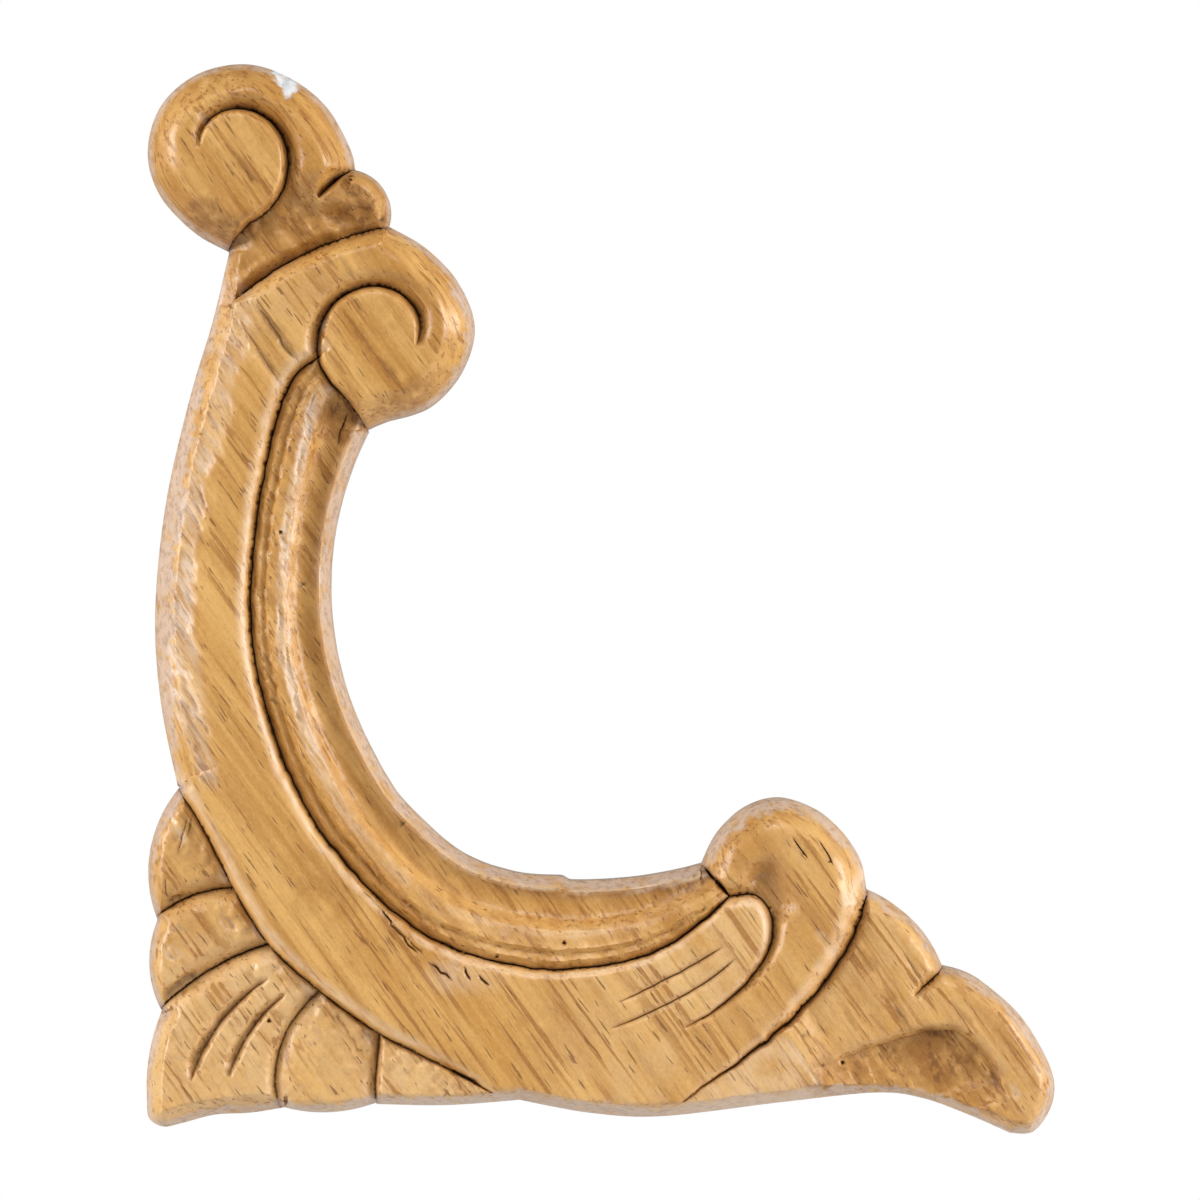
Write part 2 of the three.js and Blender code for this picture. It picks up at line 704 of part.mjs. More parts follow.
// Joins the points into triangles whose circles hold no other point. The points are taken
// from left to right, so a triangle is done once its circle lies behind the next point.
function triangulate(points) {
  const circle = (a, b, c) => {
    const [A, B, C] = [corners[a], corners[b], corners[c]];
    const d = 2 * (A.x * (B.y - C.y) + B.x * (C.y - A.y) + C.x * (A.y - B.y));
    const [a2, b2, c2] = [A, B, C].map((p) => p.x ** 2 + p.y ** 2);
    const x = (a2 * (B.y - C.y) + b2 * (C.y - A.y) + c2 * (A.y - B.y)) / d;
    const y = (a2 * (C.x - B.x) + b2 * (A.x - C.x) + c2 * (B.x - A.x)) / d;
    return { a, b, c, x, y, r2: (A.x - x) ** 2 + (A.y - y) ** 2 };
  };
  const far = 20 * HEIGHT;
  const corners = [...points, { x: -far, y: -far }, { x: far, y: -far }, { x: 0, y: far }];
  const order = points.map((_, i) => i).sort((i, j) => points[i].x - points[j].x);
  let open = [circle(points.length, points.length + 1, points.length + 2)];
  const done = [];
  for (const i of order) {
    const { x, y } = points[i];
    const sides = new Map();
    const still = [];
    for (const triangle of open) {
      const behind = x - triangle.x;
      if (behind > 0 && behind ** 2 > triangle.r2) done.push(triangle);
      else if (behind ** 2 + (y - triangle.y) ** 2 > triangle.r2) still.push(triangle);
      else {
        const { a, b, c } = triangle;
        for (const [from, to] of [[a, b], [b, c], [c, a]]) {
          if (!sides.delete(`${to} ${from}`)) sides.set(`${from} ${to}`, [from, to]);
        }
      }
    }
    open = [...still, ...[...sides.values()].map(([from, to]) => circle(from, to, i))];
  }
  return [...done, ...open].map(({ a, b, c }) => [a, b, c])
    .filter((three) => three.every((corner) => corner < points.length));
}

// A net of triangles over the plan, with an edge along every line of the carving
function net() {
  const points = netPoints();
  const triangles = triangulate(points).filter((corners) => {
    const [a, b, c] = corners.map((i) => points[i]);
    return insideLoop((a.x + b.x + c.x) / 3, (a.y + b.y + c.y) / 3, RING);
  });
  return { points, triangles };
}

// The triangles that hang together by their sides, without any that touch only at a corner
function oneSheet(triangles) {
  const owners = new Map();
  triangles.forEach(([a, b, c], owner) => {
    for (const [from, to] of [[a, b], [b, c], [c, a]]) {
      const key = from < to ? `${from} ${to}` : `${to} ${from}`;
      owners.set(key, [...(owners.get(key) ?? []), owner]);
    }
  });
  const beside = triangles.map(() => []);
  for (const [first, second] of owners.values()) {
    if (second !== undefined) {
      beside[first].push(second);
      beside[second].push(first);
    }
  }
  const group = triangles.map(() => -1);
  const sizes = [];
  triangles.forEach((_, start) => {
    if (group[start] < 0) {
      const open = [start];
      group[start] = sizes.length;
      sizes.push(0);
      while (open.length > 0) {
        const triangle = open.pop();
        sizes[sizes.length - 1] += 1;
        for (const other of beside[triangle]) {
          if (group[other] < 0) {
            group[other] = group[start];
            open.push(other);
          }
        }
      }
    }
  });
  const largest = sizes.indexOf(Math.max(...sizes));
  return triangles.filter((_, i) => group[i] === largest);
}

// The rim of the net, in order, with the net on its left
function rimOf(triangles) {
  const directed = new Set(triangles.flatMap(([a, b, c]) => [`${a} ${b}`, `${b} ${c}`, `${c} ${a}`]));
  const next = new Map();
  for (const edge of directed) {
    const [from, to] = edge.split(' ').map(Number);
    if (!directed.has(`${to} ${from}`)) next.set(from, to);
  }
  const rim = [next.keys().next().value];
  while (next.get(rim.at(-1)) !== rim[0]) rim.push(next.get(rim.at(-1)));
  return rim;
}

// The carved front, the upright side wall and the flat back, joined into one closed solid
function onlayGeometry() {
  const { points, triangles } = net();
  const sheet = oneSheet(triangles);
  const rim = rimOf(sheet);
  const position = [];
  const index = [];
  const vertex = (x, y, height) => position.push(x, -height, y) / 3 - 1;
  const front = new Map();
  const back = new Map();
  for (const i of new Set(sheet.flat())) {
    front.set(i, vertex(points[i].x, points[i].y, relief(points[i].x, points[i].y)));
  }
  for (const i of rim) back.set(i, vertex(points[i].x, points[i].y, 0));
  for (const corners of sheet) index.push(...corners.map((i) => front.get(i)));
  rim.forEach((from, k) => {
    const to = rim[(k + 1) % rim.length];
    index.push(front.get(to), front.get(from), back.get(from));
    index.push(front.get(to), back.get(from), back.get(to));
  });
  const flat = rim.map((i) => new THREE.Vector2(points[i].x, points[i].y));
  for (const [a, b, c] of THREE.ShapeUtils.triangulateShape(flat, [])) {
    const facesFront = flat[b].clone().sub(flat[a]).cross(flat[c].clone().sub(flat[a])) > 0;
    const corners = facesFront ? [a, c, b] : [a, b, c];
    index.push(...corners.map((k) => back.get(rim[k])));
  }
  const geometry = new THREE.BufferGeometry();
  geometry.setAttribute('position', new THREE.Float32BufferAttribute(position, 3));
  geometry.setIndex(index);
  geometry.computeVertexNormals();
  return geometry;
}

const wood = new THREE.MeshStandardMaterial({ color: 0xc89a62, roughness: 0.42, metalness: 0 });

const onlay = new THREE.Mesh(onlayGeometry(), wood);
onlay.name = 'corner_onlay';
onlay.position.set(-MOUNT_X, 0, -MOUNT_Z);

const model = new THREE.Group();
model.add(onlay);

export default model;
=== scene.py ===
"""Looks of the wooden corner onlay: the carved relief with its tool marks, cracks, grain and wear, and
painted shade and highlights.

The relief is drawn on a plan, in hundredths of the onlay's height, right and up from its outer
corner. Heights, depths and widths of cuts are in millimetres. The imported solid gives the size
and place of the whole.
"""

import math

import bpy
import numpy as np
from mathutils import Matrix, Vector
from mathutils.geometry import delaunay_2d_cdt


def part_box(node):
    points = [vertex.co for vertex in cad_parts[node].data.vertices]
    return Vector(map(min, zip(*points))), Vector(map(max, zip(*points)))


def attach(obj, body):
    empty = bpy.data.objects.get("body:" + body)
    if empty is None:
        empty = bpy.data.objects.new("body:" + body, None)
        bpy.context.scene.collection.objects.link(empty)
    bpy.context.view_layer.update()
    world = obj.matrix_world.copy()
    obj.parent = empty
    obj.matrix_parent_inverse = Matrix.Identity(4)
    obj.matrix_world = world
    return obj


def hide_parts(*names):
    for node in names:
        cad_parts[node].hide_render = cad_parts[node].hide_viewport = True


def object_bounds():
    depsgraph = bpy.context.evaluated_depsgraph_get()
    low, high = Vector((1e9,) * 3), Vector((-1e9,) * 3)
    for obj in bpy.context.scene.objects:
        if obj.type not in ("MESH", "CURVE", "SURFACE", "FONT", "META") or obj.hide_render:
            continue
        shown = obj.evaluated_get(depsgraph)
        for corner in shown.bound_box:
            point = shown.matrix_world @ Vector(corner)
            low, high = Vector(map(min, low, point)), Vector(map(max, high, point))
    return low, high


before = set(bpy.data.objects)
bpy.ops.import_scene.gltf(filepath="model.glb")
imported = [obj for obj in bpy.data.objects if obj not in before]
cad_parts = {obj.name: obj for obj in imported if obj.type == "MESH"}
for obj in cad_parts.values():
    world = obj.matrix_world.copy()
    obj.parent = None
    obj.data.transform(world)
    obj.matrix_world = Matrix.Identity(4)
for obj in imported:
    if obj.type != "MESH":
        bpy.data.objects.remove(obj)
cad_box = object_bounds()

# Sizes of the onlay, in millimetres
HEIGHT = 120
PERCENT = HEIGHT / 100
THICKNESS = 10

# Heights of the carved surfaces above the back
VOLUTE_TOP = 10
SCROLL_TOP = 9.6
BAND_TOP = 9.3
HOOK_TOP = 9.4
NECK_TOP = 7.3
BUD_TOP = 8.6
MOULDING_TOP = 9
LEAF_TOP = 7.8
LEAF_END_TOP = 8.8
TAIL_TOP = 7.8

# Heights of the upright side wall, and of the bottoms of the cuts
SCROLL_WALL = 4.8
LEAF_WALL = 4.2
SCROLL_FLOOR = 7.6
NECK_FLOOR = 6.1
BAND_FLOOR = 7.9
LEAF_CUT_FLOOR = 7.3
LOBE_FLOOR = 6.2
LEAF_FLOOR = 6.5
TAIL_FLOOR = 6.5
MOULDING_BASE = 5

# Widths of the rounded edges
VOLUTE_EDGE = 4
SCROLL_EDGE = 3.6
BAND_EDGE = 6
MOULDING_EDGE = 1.2
LEAF_EDGE = 2
FOOT_EDGE = 1.6

# Widths of the shoulders beside the cuts, and the share of them left where a cut fades out
WIDE = 3.2
ROLL = 2.5
SLOPE = 1.7
BROAD = 1.6
SHARP = 0.9
FINE = 0.6
FADED_WIDTH = 0.35

# Half width of the slit that the knife left at the bottom of a cut
SLIT_HALF = 0.11

# Where on the plan the surface begins to rise, and over how far: the scroll's and the neck's
# going up, the leaf's going right. The bud rises towards its middle.
SCROLL_RISE = (64, 8)
NECK_RISE = (84, 6)
LEAF_RISE = (20, 10)
BUD_MIDDLE = (20, 86.3)
BUD_REACH = 3.6

# The crease of the tail on the plan, and how low and how far away the slope beside it ends
CREASE = ((59.8, 8.7), (62.8, 4.2))
CREASE_DROP = 0.3
CREASE_SLOPE = 3.5

# The arris of the moulding, worn and painted with a highlight: its way from the inner edge, and half its
# width
ARRIS_WAY = 1.35
ARRIS_HALF = 0.3

# Torn wood, painted pale as torn fibres and as a painted highlight on these slopes: the strip along the
# band's outer edge, the place under the moulding on the plan, and where the moulding's cove begins and
# ends beside the band's cut
TORN_WAY = 3.4
TORN_HALF = 1.5
SPLINTERED_MIDDLE = (30, 14.3)
SPLINTERED_HALF = (5, 2.6)
COVE_START = 2.6
COVE_END = 4.6

# Depth of the torn fibres, the share of it on the moulding, and how far the painted shade beside a slit
# reaches on the side painted pale and on any other
TORN_DEPTH = 0.6
TORN_ON_MOULDING = 0.45
CUT_SHADE_BY_PALE_SIDE = 0.4
CUT_SHADE_REACH = 0.85

# How long cracks and streaks take to reach their full width, and how softly the pale strip of wear and
# painted sheen ends
CRACK_END = 1.2
STREAK_END = 1.4
STRIP_BLUR = 0.25

# How unevenly the areas are carved, and how dark their old varnish is
BAND_CARVED = 0.25
VOLUTE_CARVED = 0.35
HOLLOW_CARVED = 0.9
AREAS_CARVED = {"leaf": 1.1, "neck": 2.2, "tail": 0.7, "moulding": 0.4, "hook": 0.4}
STAINS = {"band": 0.12, "neck": 0.7, "moulding": 0.5, "leaf": 0.3, "tail": 0.22, "hook": 0.4}
VOLUTE_STAIN = 0.35

# How closely the lines are followed, and the spacing of the mesh
LINE_STEP = 0.2
MESH_STEP = 0.37
ROUGH_STEP = 0.22
ROW_STEP = 0.28
ROW_ROOM = 0.1
OPEN_ROOM = 0.27
ROOM_GRID = 0.03

# Rows of the mesh: shares of a shoulder, of a rounded edge, of half a streak and of the wall
SHOULDER_ROWS = (0.22, 0.42, 0.68, 1)
EDGE_ROWS = (0.1, 0.22, 0.4, 0.65, 1)
STREAK_ROWS = (0, 1, -1, 1.6, -1.6)
WALL_ROWS = (0.85, 0.6, 0.35, 0.1, 0)

# How often an area's looks are smoothed over its borders, and the angle of a sharp edge
SMOOTHINGS = 10
SHARP_ANGLE = 50

# How far the wall strays, and how far the back's edge is set in
WALL_STRAY = 0.06
BACK_INSET = 0.25

# Where the grain runs on the plan
GRAIN = np.array([0.58, -0.815])
GRAIN_ACROSS = np.array([0.815, 0.58])

# Lens, width and centre of the view in millimetres, light of the room, and floor in metres
LENS = 250
SENSOR = 36
VIEW_WIDTH = 134.4
VIEW_CENTRE = (50.79, 59.02)
ROOM_LIGHT = 0.2
FLOOR_BELOW = 0.12
FLOOR_RADIUS = 0.25
FLOOR_THICKNESS = 0.004


def clamp(t):
    return np.clip(t, 0, 1)


def mix(a, b, t):
    return a + (b - a) * t


def rounded(t):
    return clamp(1 - (1 - t) ** 2)


def bevel(t):
    return t


def soft(t):
    return t * t * (3 - 2 * t)


def sunken(t):
    """Low nearly all the way."""
    return t**6


def worn(t):
    """A steep bevel first, then a gentle slope."""
    return np.interp(t, (0, 0.4, 1), (0, 0.78, 1))


def rise(value, start, length):
    """0 up to the start, then softly up to 1 over the length."""
    return soft(clamp((value - start) / length))


def fall(value, end, length):
    """1 at first, then softly down over the length to 0 at the end."""
    return soft(clamp((end - value) / length))


def noise(x, y, seed):
    """Smooth noise from -1 to 1 that changes over a distance of about one."""
    i = np.floor(x).astype(np.int64)
    j = np.floor(y).astype(np.int64)
    across = soft(x - i)
    up = soft(y - j)

    def corner(a, b):
        mixed = (a * 374761393 + b * 668265263 + seed * 974634777) & 0xFFFFFFFF
        mixed = ((mixed ^ (mixed >> 13)) * 1274126177) & 0xFFFFFFFF
        return ((mixed ^ (mixed >> 16)) & 0xFFFF) / 32767.5 - 1

    low = mix(corner(i, j), corner(i + 1, j), across)
    high = mix(corner(i, j + 1), corner(i + 1, j + 1), across)
    return mix(low, high, up)


def ripple(way, seed):
    """Smooth noise along a line."""
    return noise(way, way * 0, seed)


def turn_of(a, b, c):
    """More than 0 where the way from a over b to c turns left."""
    return (b - a)[..., 0] * (c - a)[..., 1] - (b - a)[..., 1] * (c - a)[..., 0]


class Line:
    """A line of the plan, held as close points in millimetres."""

    def __init__(self, *parts):
        xy = np.vstack(parts)
        apart = np.hypot(*np.diff(xy, axis=0).T) > 1e-6
        self.xy = xy[np.r_[True, apart]]
        self.steps = np.diff(self.xy, axis=0)
        self.lengths = np.hypot(*self.steps.T)
        self.before = np.r_[0, np.cumsum(self.lengths)]
        self.length = self.before[-1]

    def near(self, points):
        """Distance to the line, side (1 left, -1 right), way along it and nearest point of it."""
        first = np.zeros(len(points), int)
        squares = 0.5 * (self.xy**2).sum(1)
        for k in range(0, len(points), 20000):
            first[k : k + 20000] = (squares - points[k : k + 20000] @ self.xy.T).argmin(1)
        distance = np.full(len(points), np.inf)
        side = np.ones(len(points))
        along = np.zeros(len(points))
        foot = np.zeros((len(points), 2))
        for back in (1, 0):
            i = np.clip(first - back, 0, len(self.steps) - 1)
            gap = points - self.xy[i]
            t = clamp((gap * self.steps[i]).sum(1) / self.lengths[i] ** 2)
            found = self.xy[i] + t[:, None] * self.steps[i]
            away = np.hypot(*(points - found).T)
            left = self.steps[i][:, 0] * gap[:, 1] - self.steps[i][:, 1] * gap[:, 0] >= 0
            closer = away < distance
            distance[closer] = away[closer]
            side[closer] = np.where(left, 1, -1)[closer]
            along[closer] = (self.before[i] + t * self.lengths[i])[closer]
            foot[closer] = found[closer]
        return distance, side, along, foot

    def row(self, away=0, step=ROW_STEP):
        """Points an even step apart, beside the line by a distance that may differ from end to end."""
        count = max(2, round(self.length / step) + 1)
        along = np.linspace(0, self.length, count)
        points = np.column_stack([np.interp(along, self.before, axis) for axis in self.xy.T])
        ahead = np.gradient(points, axis=0)
        ahead /= np.hypot(*ahead.T)[:, None]
        away = np.broadcast_to(away, 2)
        distance = mix(away[0], away[1], along / self.length)[:, None]
        return points + distance * ahead[:, ::-1] * [-1, 1]

    def within(self, points, reach):
        """Which points may lie closer to the line than the reach."""
        low = self.xy.min(0) - reach
        high = self.xy.max(0) + reach
        return np.flatnonzero(((points >= low) & (points <= high)).all(1))


def swirl(x, y, r0, r1, from_degrees, to_degrees):
    """A stretch of a line that turns about a centre while its radius goes from r0 to r1."""
    turn = math.radians(abs(to_degrees - from_degrees))
    count = math.ceil(turn * max(r0, r1) * PERCENT / LINE_STEP) + 1
    angle = np.radians(np.linspace(from_degrees, to_degrees, count))
    r = np.linspace(r0, r1, count)
    return np.column_stack([x + r * np.cos(angle), y + r * np.sin(angle)]) * PERCENT


def through(*points):
    """A stretch of a line that runs smoothly through the points given."""
    p = np.array([points[0], *points, points[-1]], float) * PERCENT
    stretches = []
    for a, b, c, d in zip(p, p[1:], p[2:], p[3:]):
        t = np.linspace(0, 1, math.ceil(math.dist(b, c) / LINE_STEP), endpoint=False)[:, None]
        start, end = (c - a) / 2, (d - b) / 2
        cubic = 2 * b - 2 * c + start + end
        square = 3 * c - 3 * b - 2 * start - end
        stretches.append(cubic * t**3 + square * t**2 + start * t + b)
    return np.vstack([*stretches, p[-1:]])


def shaken(line, amount, seed, length=1.1):
    """A line whose points stray to all sides by up to the amount, as a torn edge does."""
    way = np.r_[0, np.cumsum(np.hypot(*np.diff(line, axis=0).T))]
    still = clamp(np.minimum(way, way[-1] - way) / 2)[:, None]
    stray = [noise(way / length, np.full(len(way), seed + turn), 11) for turn in (0.25, 40.75)]
    return line + amount * still * np.column_stack(stray)


def inside(points, loop):
    """Which points lie inside a closed loop."""
    x, y = points.T
    result = np.zeros(len(points), bool)
    for (ax, ay), (bx, by) in zip(loop, np.roll(loop, -1, axis=0)):
        crosses = (ay > y) != (by > y)
        if crosses.any():
            result ^= crosses & (x < ax + (y - ay) * (bx - ax) / (by - ay))
    return result


# The outline, clockwise from where the upper volute meets the outer edge of the band: width of
# the rounded edge, height of the wall, form of the edge, and line
OUTLINE = {
    "upper_volute": (VOLUTE_EDGE, SCROLL_WALL, rounded, through(
        (7.7, 81.7), (4.2, 83.7), (1.1, 87.2), (0.1, 91.2), (1.4, 95.4), (4.8, 98.3),
        (9.3, 99.2), (13.4, 97.9), (16.8, 95.2), (18.9, 91.5), (19.4, 89.4))),
    "bud": (LEAF_EDGE, LEAF_WALL, rounded, swirl(18.8, 85.2, 4.2, 3.9, 82, -17)),
    "middle_scroll": (SCROLL_EDGE, SCROLL_WALL, rounded, through(
        (22.7, 84), (26.1, 82), (29.1, 78.8), (30.6, 74.7), (29.4, 70.5), (26.4, 67.2),
        (22.2, 65.8), (20.6, 65.1))),
    "inner_edge": (MOULDING_EDGE, SCROLL_WALL, bevel, np.vstack([
        swirl(48.8, 50.7, 31.5, 31.8, 153, 208),
        through((20.8, 35.6), (22.2, 33), (24.1, 30.3), (29.1, 25.8), (34.2, 23.8), (38.8, 23.4))])),
    "inner_edge_of_foot": (MOULDING_EDGE, SCROLL_WALL, bevel, swirl(44.6, 64.6, 41.9, 40.7, -97, -80)),
    "hook": (SCROLL_EDGE, SCROLL_WALL, rounded, through(
        (51.8, 24.5), (53.2, 27.3), (55.7, 29.7), (58.8, 30.7), (62.1, 29.8), (64.7, 27.8),
        (66.6, 25), (67.2, 22.2))),
    "first_tail_lobe": (LEAF_EDGE, LEAF_WALL, rounded, swirl(66.1, 7.3, 14.8, 11.2, 85, 43)),
    "second_tail_lobe": (LEAF_EDGE, LEAF_WALL, rounded, through(
        (74.3, 15), (77.4, 13.9), (81.6, 10.3), (84.4, 5.5), (84.6, 2.3), (82.9, -0.4), (80.7, -0.6))),
    "foot": (FOOT_EDGE, SCROLL_WALL, bevel, through(
        (80.7, -0.6), (76.6, 1.2), (72.4, 2.7), (68, 3.2), (59.2, 2.3), (48.2, 1), (41.5, 1.3),
        (34.9, 2.5))),
    "fifth_leaf_lobe": (FOOT_EDGE, LEAF_WALL, rounded, through((34.9, 2.5), (28, 2), (21.5, 2.1))),
    "fourth_leaf_lobe": (FOOT_EDGE, LEAF_WALL, rounded, swirl(14.5, 15.1, 14.6, 13.4, -62, -97)),
    "third_leaf_lobe": (LEAF_EDGE, LEAF_WALL, bevel, np.vstack([
        through((12.9, 1.8), (9.7, 1.3), (6.3, 1.1), (3.2, 0.3), (1.5, 0), (0.2, 0.8), (0, 2.5)),
        swirl(17.9, 0.8, 18, 19.3, 174, 149)])),
    "second_leaf_lobe": (LEAF_EDGE, LEAF_WALL, rounded, swirl(10.2, 13.3, 9.1, 11, -163, -213)),
    "first_leaf_lobe": (LEAF_EDGE, LEAF_WALL, rounded, swirl(11.9, 21.9, 11.2, 13.2, -167, -228)),
    "outer_edge": (BAND_EDGE, SCROLL_WALL, worn, through(
        (2.9, 31.8), (1.3, 39.8), (0.8, 48.2), (1.8, 58.2), (4, 67.9), (6.2, 75.3), (7.7, 81.6))),
}

# How the rounded edge's width changes along it, where it does
EDGE_TAPERS = {"outer_edge": (1, 1, 1, 1, 1, 1, 1, 0.55)}

# How wide the pale strip along the edge is: varnish worn off it, and painted sheen on the rounded edge
STRIPS = {
    "upper_volute": (0.5, 0.6), "bud": (0.3, 0.3), "middle_scroll": (0.3, 1, 0.6, 0.15),
    "inner_edge": (1, 1.1), "inner_edge_of_foot": (1.2, 1.3), "hook": (0.8, 1.5, 1.1, 0.4),
    "first_tail_lobe": (0.9, 0.6), "second_tail_lobe": (0.8, 1), "foot": (0.7, 1.3, 1.3),
    "fifth_leaf_lobe": (1.2, 1.1), "fourth_leaf_lobe": (1, 1), "third_leaf_lobe": (0.9, 0.6, 0.7),
    "second_leaf_lobe": (0.7, 0.7), "first_leaf_lobe": (0.6, 1.1),
    "outer_edge": (0.5, 2.2, 2.4, 1.9, 0.9, 0.3),
}


def in_full(side):
    """A side of a cut: the width of its shoulder where the cut starts and ends, and its form."""
    return (*side, rounded)[:3] if isinstance(side, tuple) else (side, side, rounded)


def cut(*parts, floor=None, depth=None, left, right, fade=(0, 0), within=None, slit=0.55,
        ragged=0.05, cracked=False, rubbed_and_highlit=0, onset=0.5):
    """A knife cut down to a floor, or by a depth into the surface beside it. Fade is how long it
    takes to reach its full depth at either end, and onset how suddenly it does. Slit is how much
    deeper the knife went at its bottom, which in a cracked cut doesn't fade with the rest. Ragged
    is how far the line strays. The side named by rubbed, 1 left and -1 right, is worn pale and painted
    with a highlight."""
    return {"line": Line(shaken(Line(*parts).xy, ragged, len(parts[0]))), "floor": floor,
            "depth": depth, "left": in_full(left), "right": in_full(right), "fade": fade,
            "within": within, "slit": slit, "cracked": cracked, "rubbed_and_highlit": rubbed_and_highlit, "onset": onset}


CUTS = {
    "volute": cut(
        swirl(7.7, 90.8, 2.6, 6.8, 170, -73), through((8.2, 82.7), (7.6, 81.6)), floor=SCROLL_FLOOR,
        left=ROLL, right=SHARP, fade=(10, 0)),
    "bud": cut(
        through((19.6, 89.5), (18, 88.5), (16.6, 87.2), (16.1, 86.6)), floor=NECK_FLOOR, left=SHARP,
        right=(ROLL, BROAD), fade=(0, 2.5), within="neck"),
    "neck": cut(
        swirl(33.7, 58.3, 31.8, 27.9, 145, 113), floor=NECK_FLOOR, left=(BROAD, BROAD, soft),
        right=(BROAD, ROLL), fade=(2.5, 0)),
    "scroll": cut(
        swirl(22.1, 73.6, 3.2, 6.4, -15, 205), through((17.3, 69.3), (19.1, 67.4), (20.7, 65)),
        floor=SCROLL_FLOOR, left=SHARP, right=(ROLL, BROAD), fade=(4, 0)),
    "band": cut(
        through((16.2, 71.8), (13.8, 69.8), (11.9, 64.8), (10.4, 56.5), (9.8, 49.2), (10.4, 42.8),
        (12.8, 34.4), (16.8, 27), (23.1, 20.2), (29.1, 16.6), (37.3, 14.8), (45.6, 15.8), (50.3, 18.1),
        (54.4, 21.6)), floor=BAND_FLOOR, left=FINE, right=(2.2, SHARP), slit=0.8, ragged=0.09, rubbed_and_highlit=-1),
    "moulding_end": cut(
        through((51.6, 24.7), (53, 23.1), (54.4, 21.6)), floor=SCROLL_FLOOR, left=(BROAD, SHARP),
        right=FINE),
    "leaf": cut(
        through((2.8, 31.9), (5.2, 28.2), (8.1, 22.5), (11.4, 17.2), (16.2, 12.8), (21.8, 8.8),
        (28, 5.7), (32.6, 3.2)), floor=LEAF_CUT_FLOOR, left=(2, BROAD), right=(SHARP, FINE),
        fade=(0, 12), slit=0.35, cracked=True, rubbed_and_highlit=1),
    "first_lobe": cut(
        swirl(5.6, 10, 10.7, 12.6, 116, 79), floor=LOBE_FLOOR, left=(2.6, SLOPE), right=ROLL,
        within="leaf", slit=0.4),
    "second_lobe": cut(
        swirl(14.9, -6.9, 22.5, 24.3, 127, 98), floor=LOBE_FLOOR, left=(3, SLOPE), right=ROLL,
        within="leaf", slit=0.5),
    "third_lobe": cut(
        swirl(20.5, -0.3, 8.2, 13.8, 166, 108), floor=LEAF_FLOOR, left=(SLOPE, BROAD),
        right=(WIDE, ROLL), within="leaf", slit=0.25),
    "fourth_lobe": cut(
        through((21.5, 2), (21.4, 4.1), (21.8, 8.8)), floor=LEAF_FLOOR, left=ROLL, right=SHARP,
        within="leaf", slit=0.25),
    "upper_vein": cut(
        swirl(16.8, -4.4, 15.3, 19.1, 145, 106), depth=1.1, left=(BROAD, SHARP, soft),
        right=(SHARP, FINE), fade=(2, 4), within="leaf", slit=0.2),
    "lower_vein": cut(
        swirl(17.8, -4.6, 13.7, 17.8, 137, 105), depth=1.1, left=(BROAD, SHARP, soft),
        right=(SHARP, FINE), fade=(2, 4), within="leaf", slit=0.2),
    "hook": cut(
        through((67.3, 22.3), (66.5, 19.4), (64.8, 15.8), (62.1, 12.2), (58.4, 8.6), (54.8, 6),
        (50.3, 2.8), (48.6, 1.4)), floor=TAIL_FLOOR, left=(SHARP, FINE, soft), right=(WIDE, SHARP),
        fade=(0, 24), slit=0.8, ragged=0.14, cracked=True, rubbed_and_highlit=-1, onset=1),
    "thumb": cut(
        through((54.4, 21.6), (56.8, 21.7), (58.3, 19.7), (58.1, 16.8), (56, 13.6), (52.8, 10.9),
        (50.1, 9.4)), floor=SCROLL_FLOOR, left=(ROLL, SHARP), right=(BROAD, SHARP), fade=(0, 16),
        rubbed_and_highlit=-1),
    "upper_line": cut(
        through((53.7, 16.9), (49.2, 14.3), (43.9, 11.7)), depth=0.35, left=(FINE, FINE, bevel),
        right=(FINE, FINE, bevel), fade=(2, 3), slit=0.25),
    "lower_line": cut(
        through((54.9, 15.8), (51.6, 13.3), (46.8, 10.8), (43.2, 9.3)), depth=0.35,
        left=(FINE, FINE, bevel), right=(FINE, FINE, bevel), fade=(2, 3), slit=0.25),
    "tail_lobe": cut(
        through((74.4, 15), (73.2, 13.8), (71.5, 12.2)), floor=TAIL_FLOOR, left=BROAD, right=BROAD,
        fade=(0, 2.5), within="tail"),
    "tail_hollow": cut(
        through((61.6, 5.3), (67, 7.3), (73.7, 9), (77, 8), (79, 5.3), (80.4, 2.6)), depth=1.7,
        left=(1.2, SHARP), right=(12, 8, sunken), fade=(11, 4), within="tail", slit=0.05, ragged=0.25,
        onset=0.9),
    "seam": cut(
        through((7.8, 76), (10, 73.3), (12.6, 69.2)), depth=0.35, left=(SLOPE, SLOPE, soft),
        right=(SHARP, SHARP, soft), fade=(3, 0), within="band", slit=0.1),
}

# Hollows scooped with a gouge: half width, depth, length of the run-out, area and line
GOUGES = {
    "hook": (3, 2, 2, "hook", Line(through((56.6, 25), (58, 22.2), (59.4, 19)))),
    "volute_fold": (1.3, 0.5, 3, "neck", Line(through(
        (10.5, 97.2), (15.5, 94.3), (17.4, 91.3), (17.9, 88.6)))),
    "scroll_fold": (1.2, 0.5, 3, "band", Line(through(
        (24, 81.6), (27.4, 78.6), (28.6, 75.2), (28.1, 71.7), (25.6, 68.6)))),
    "bud": (1.8, 1, 1.5, "neck", Line(through((16.4, 84.6), (19.7, 85), (22, 85)))),
}


def crack(half, depth, stray, dark, *points, pale=0):
    """A crack in the wood through points of the plan: half its width, depth, how far it strays,
    how dark it is painted as shade inside it, and how pale it is painted as a highlight."""
    return half, depth, dark, pale, Line(shaken(through(*points), stray, points[0][0], 0.9))


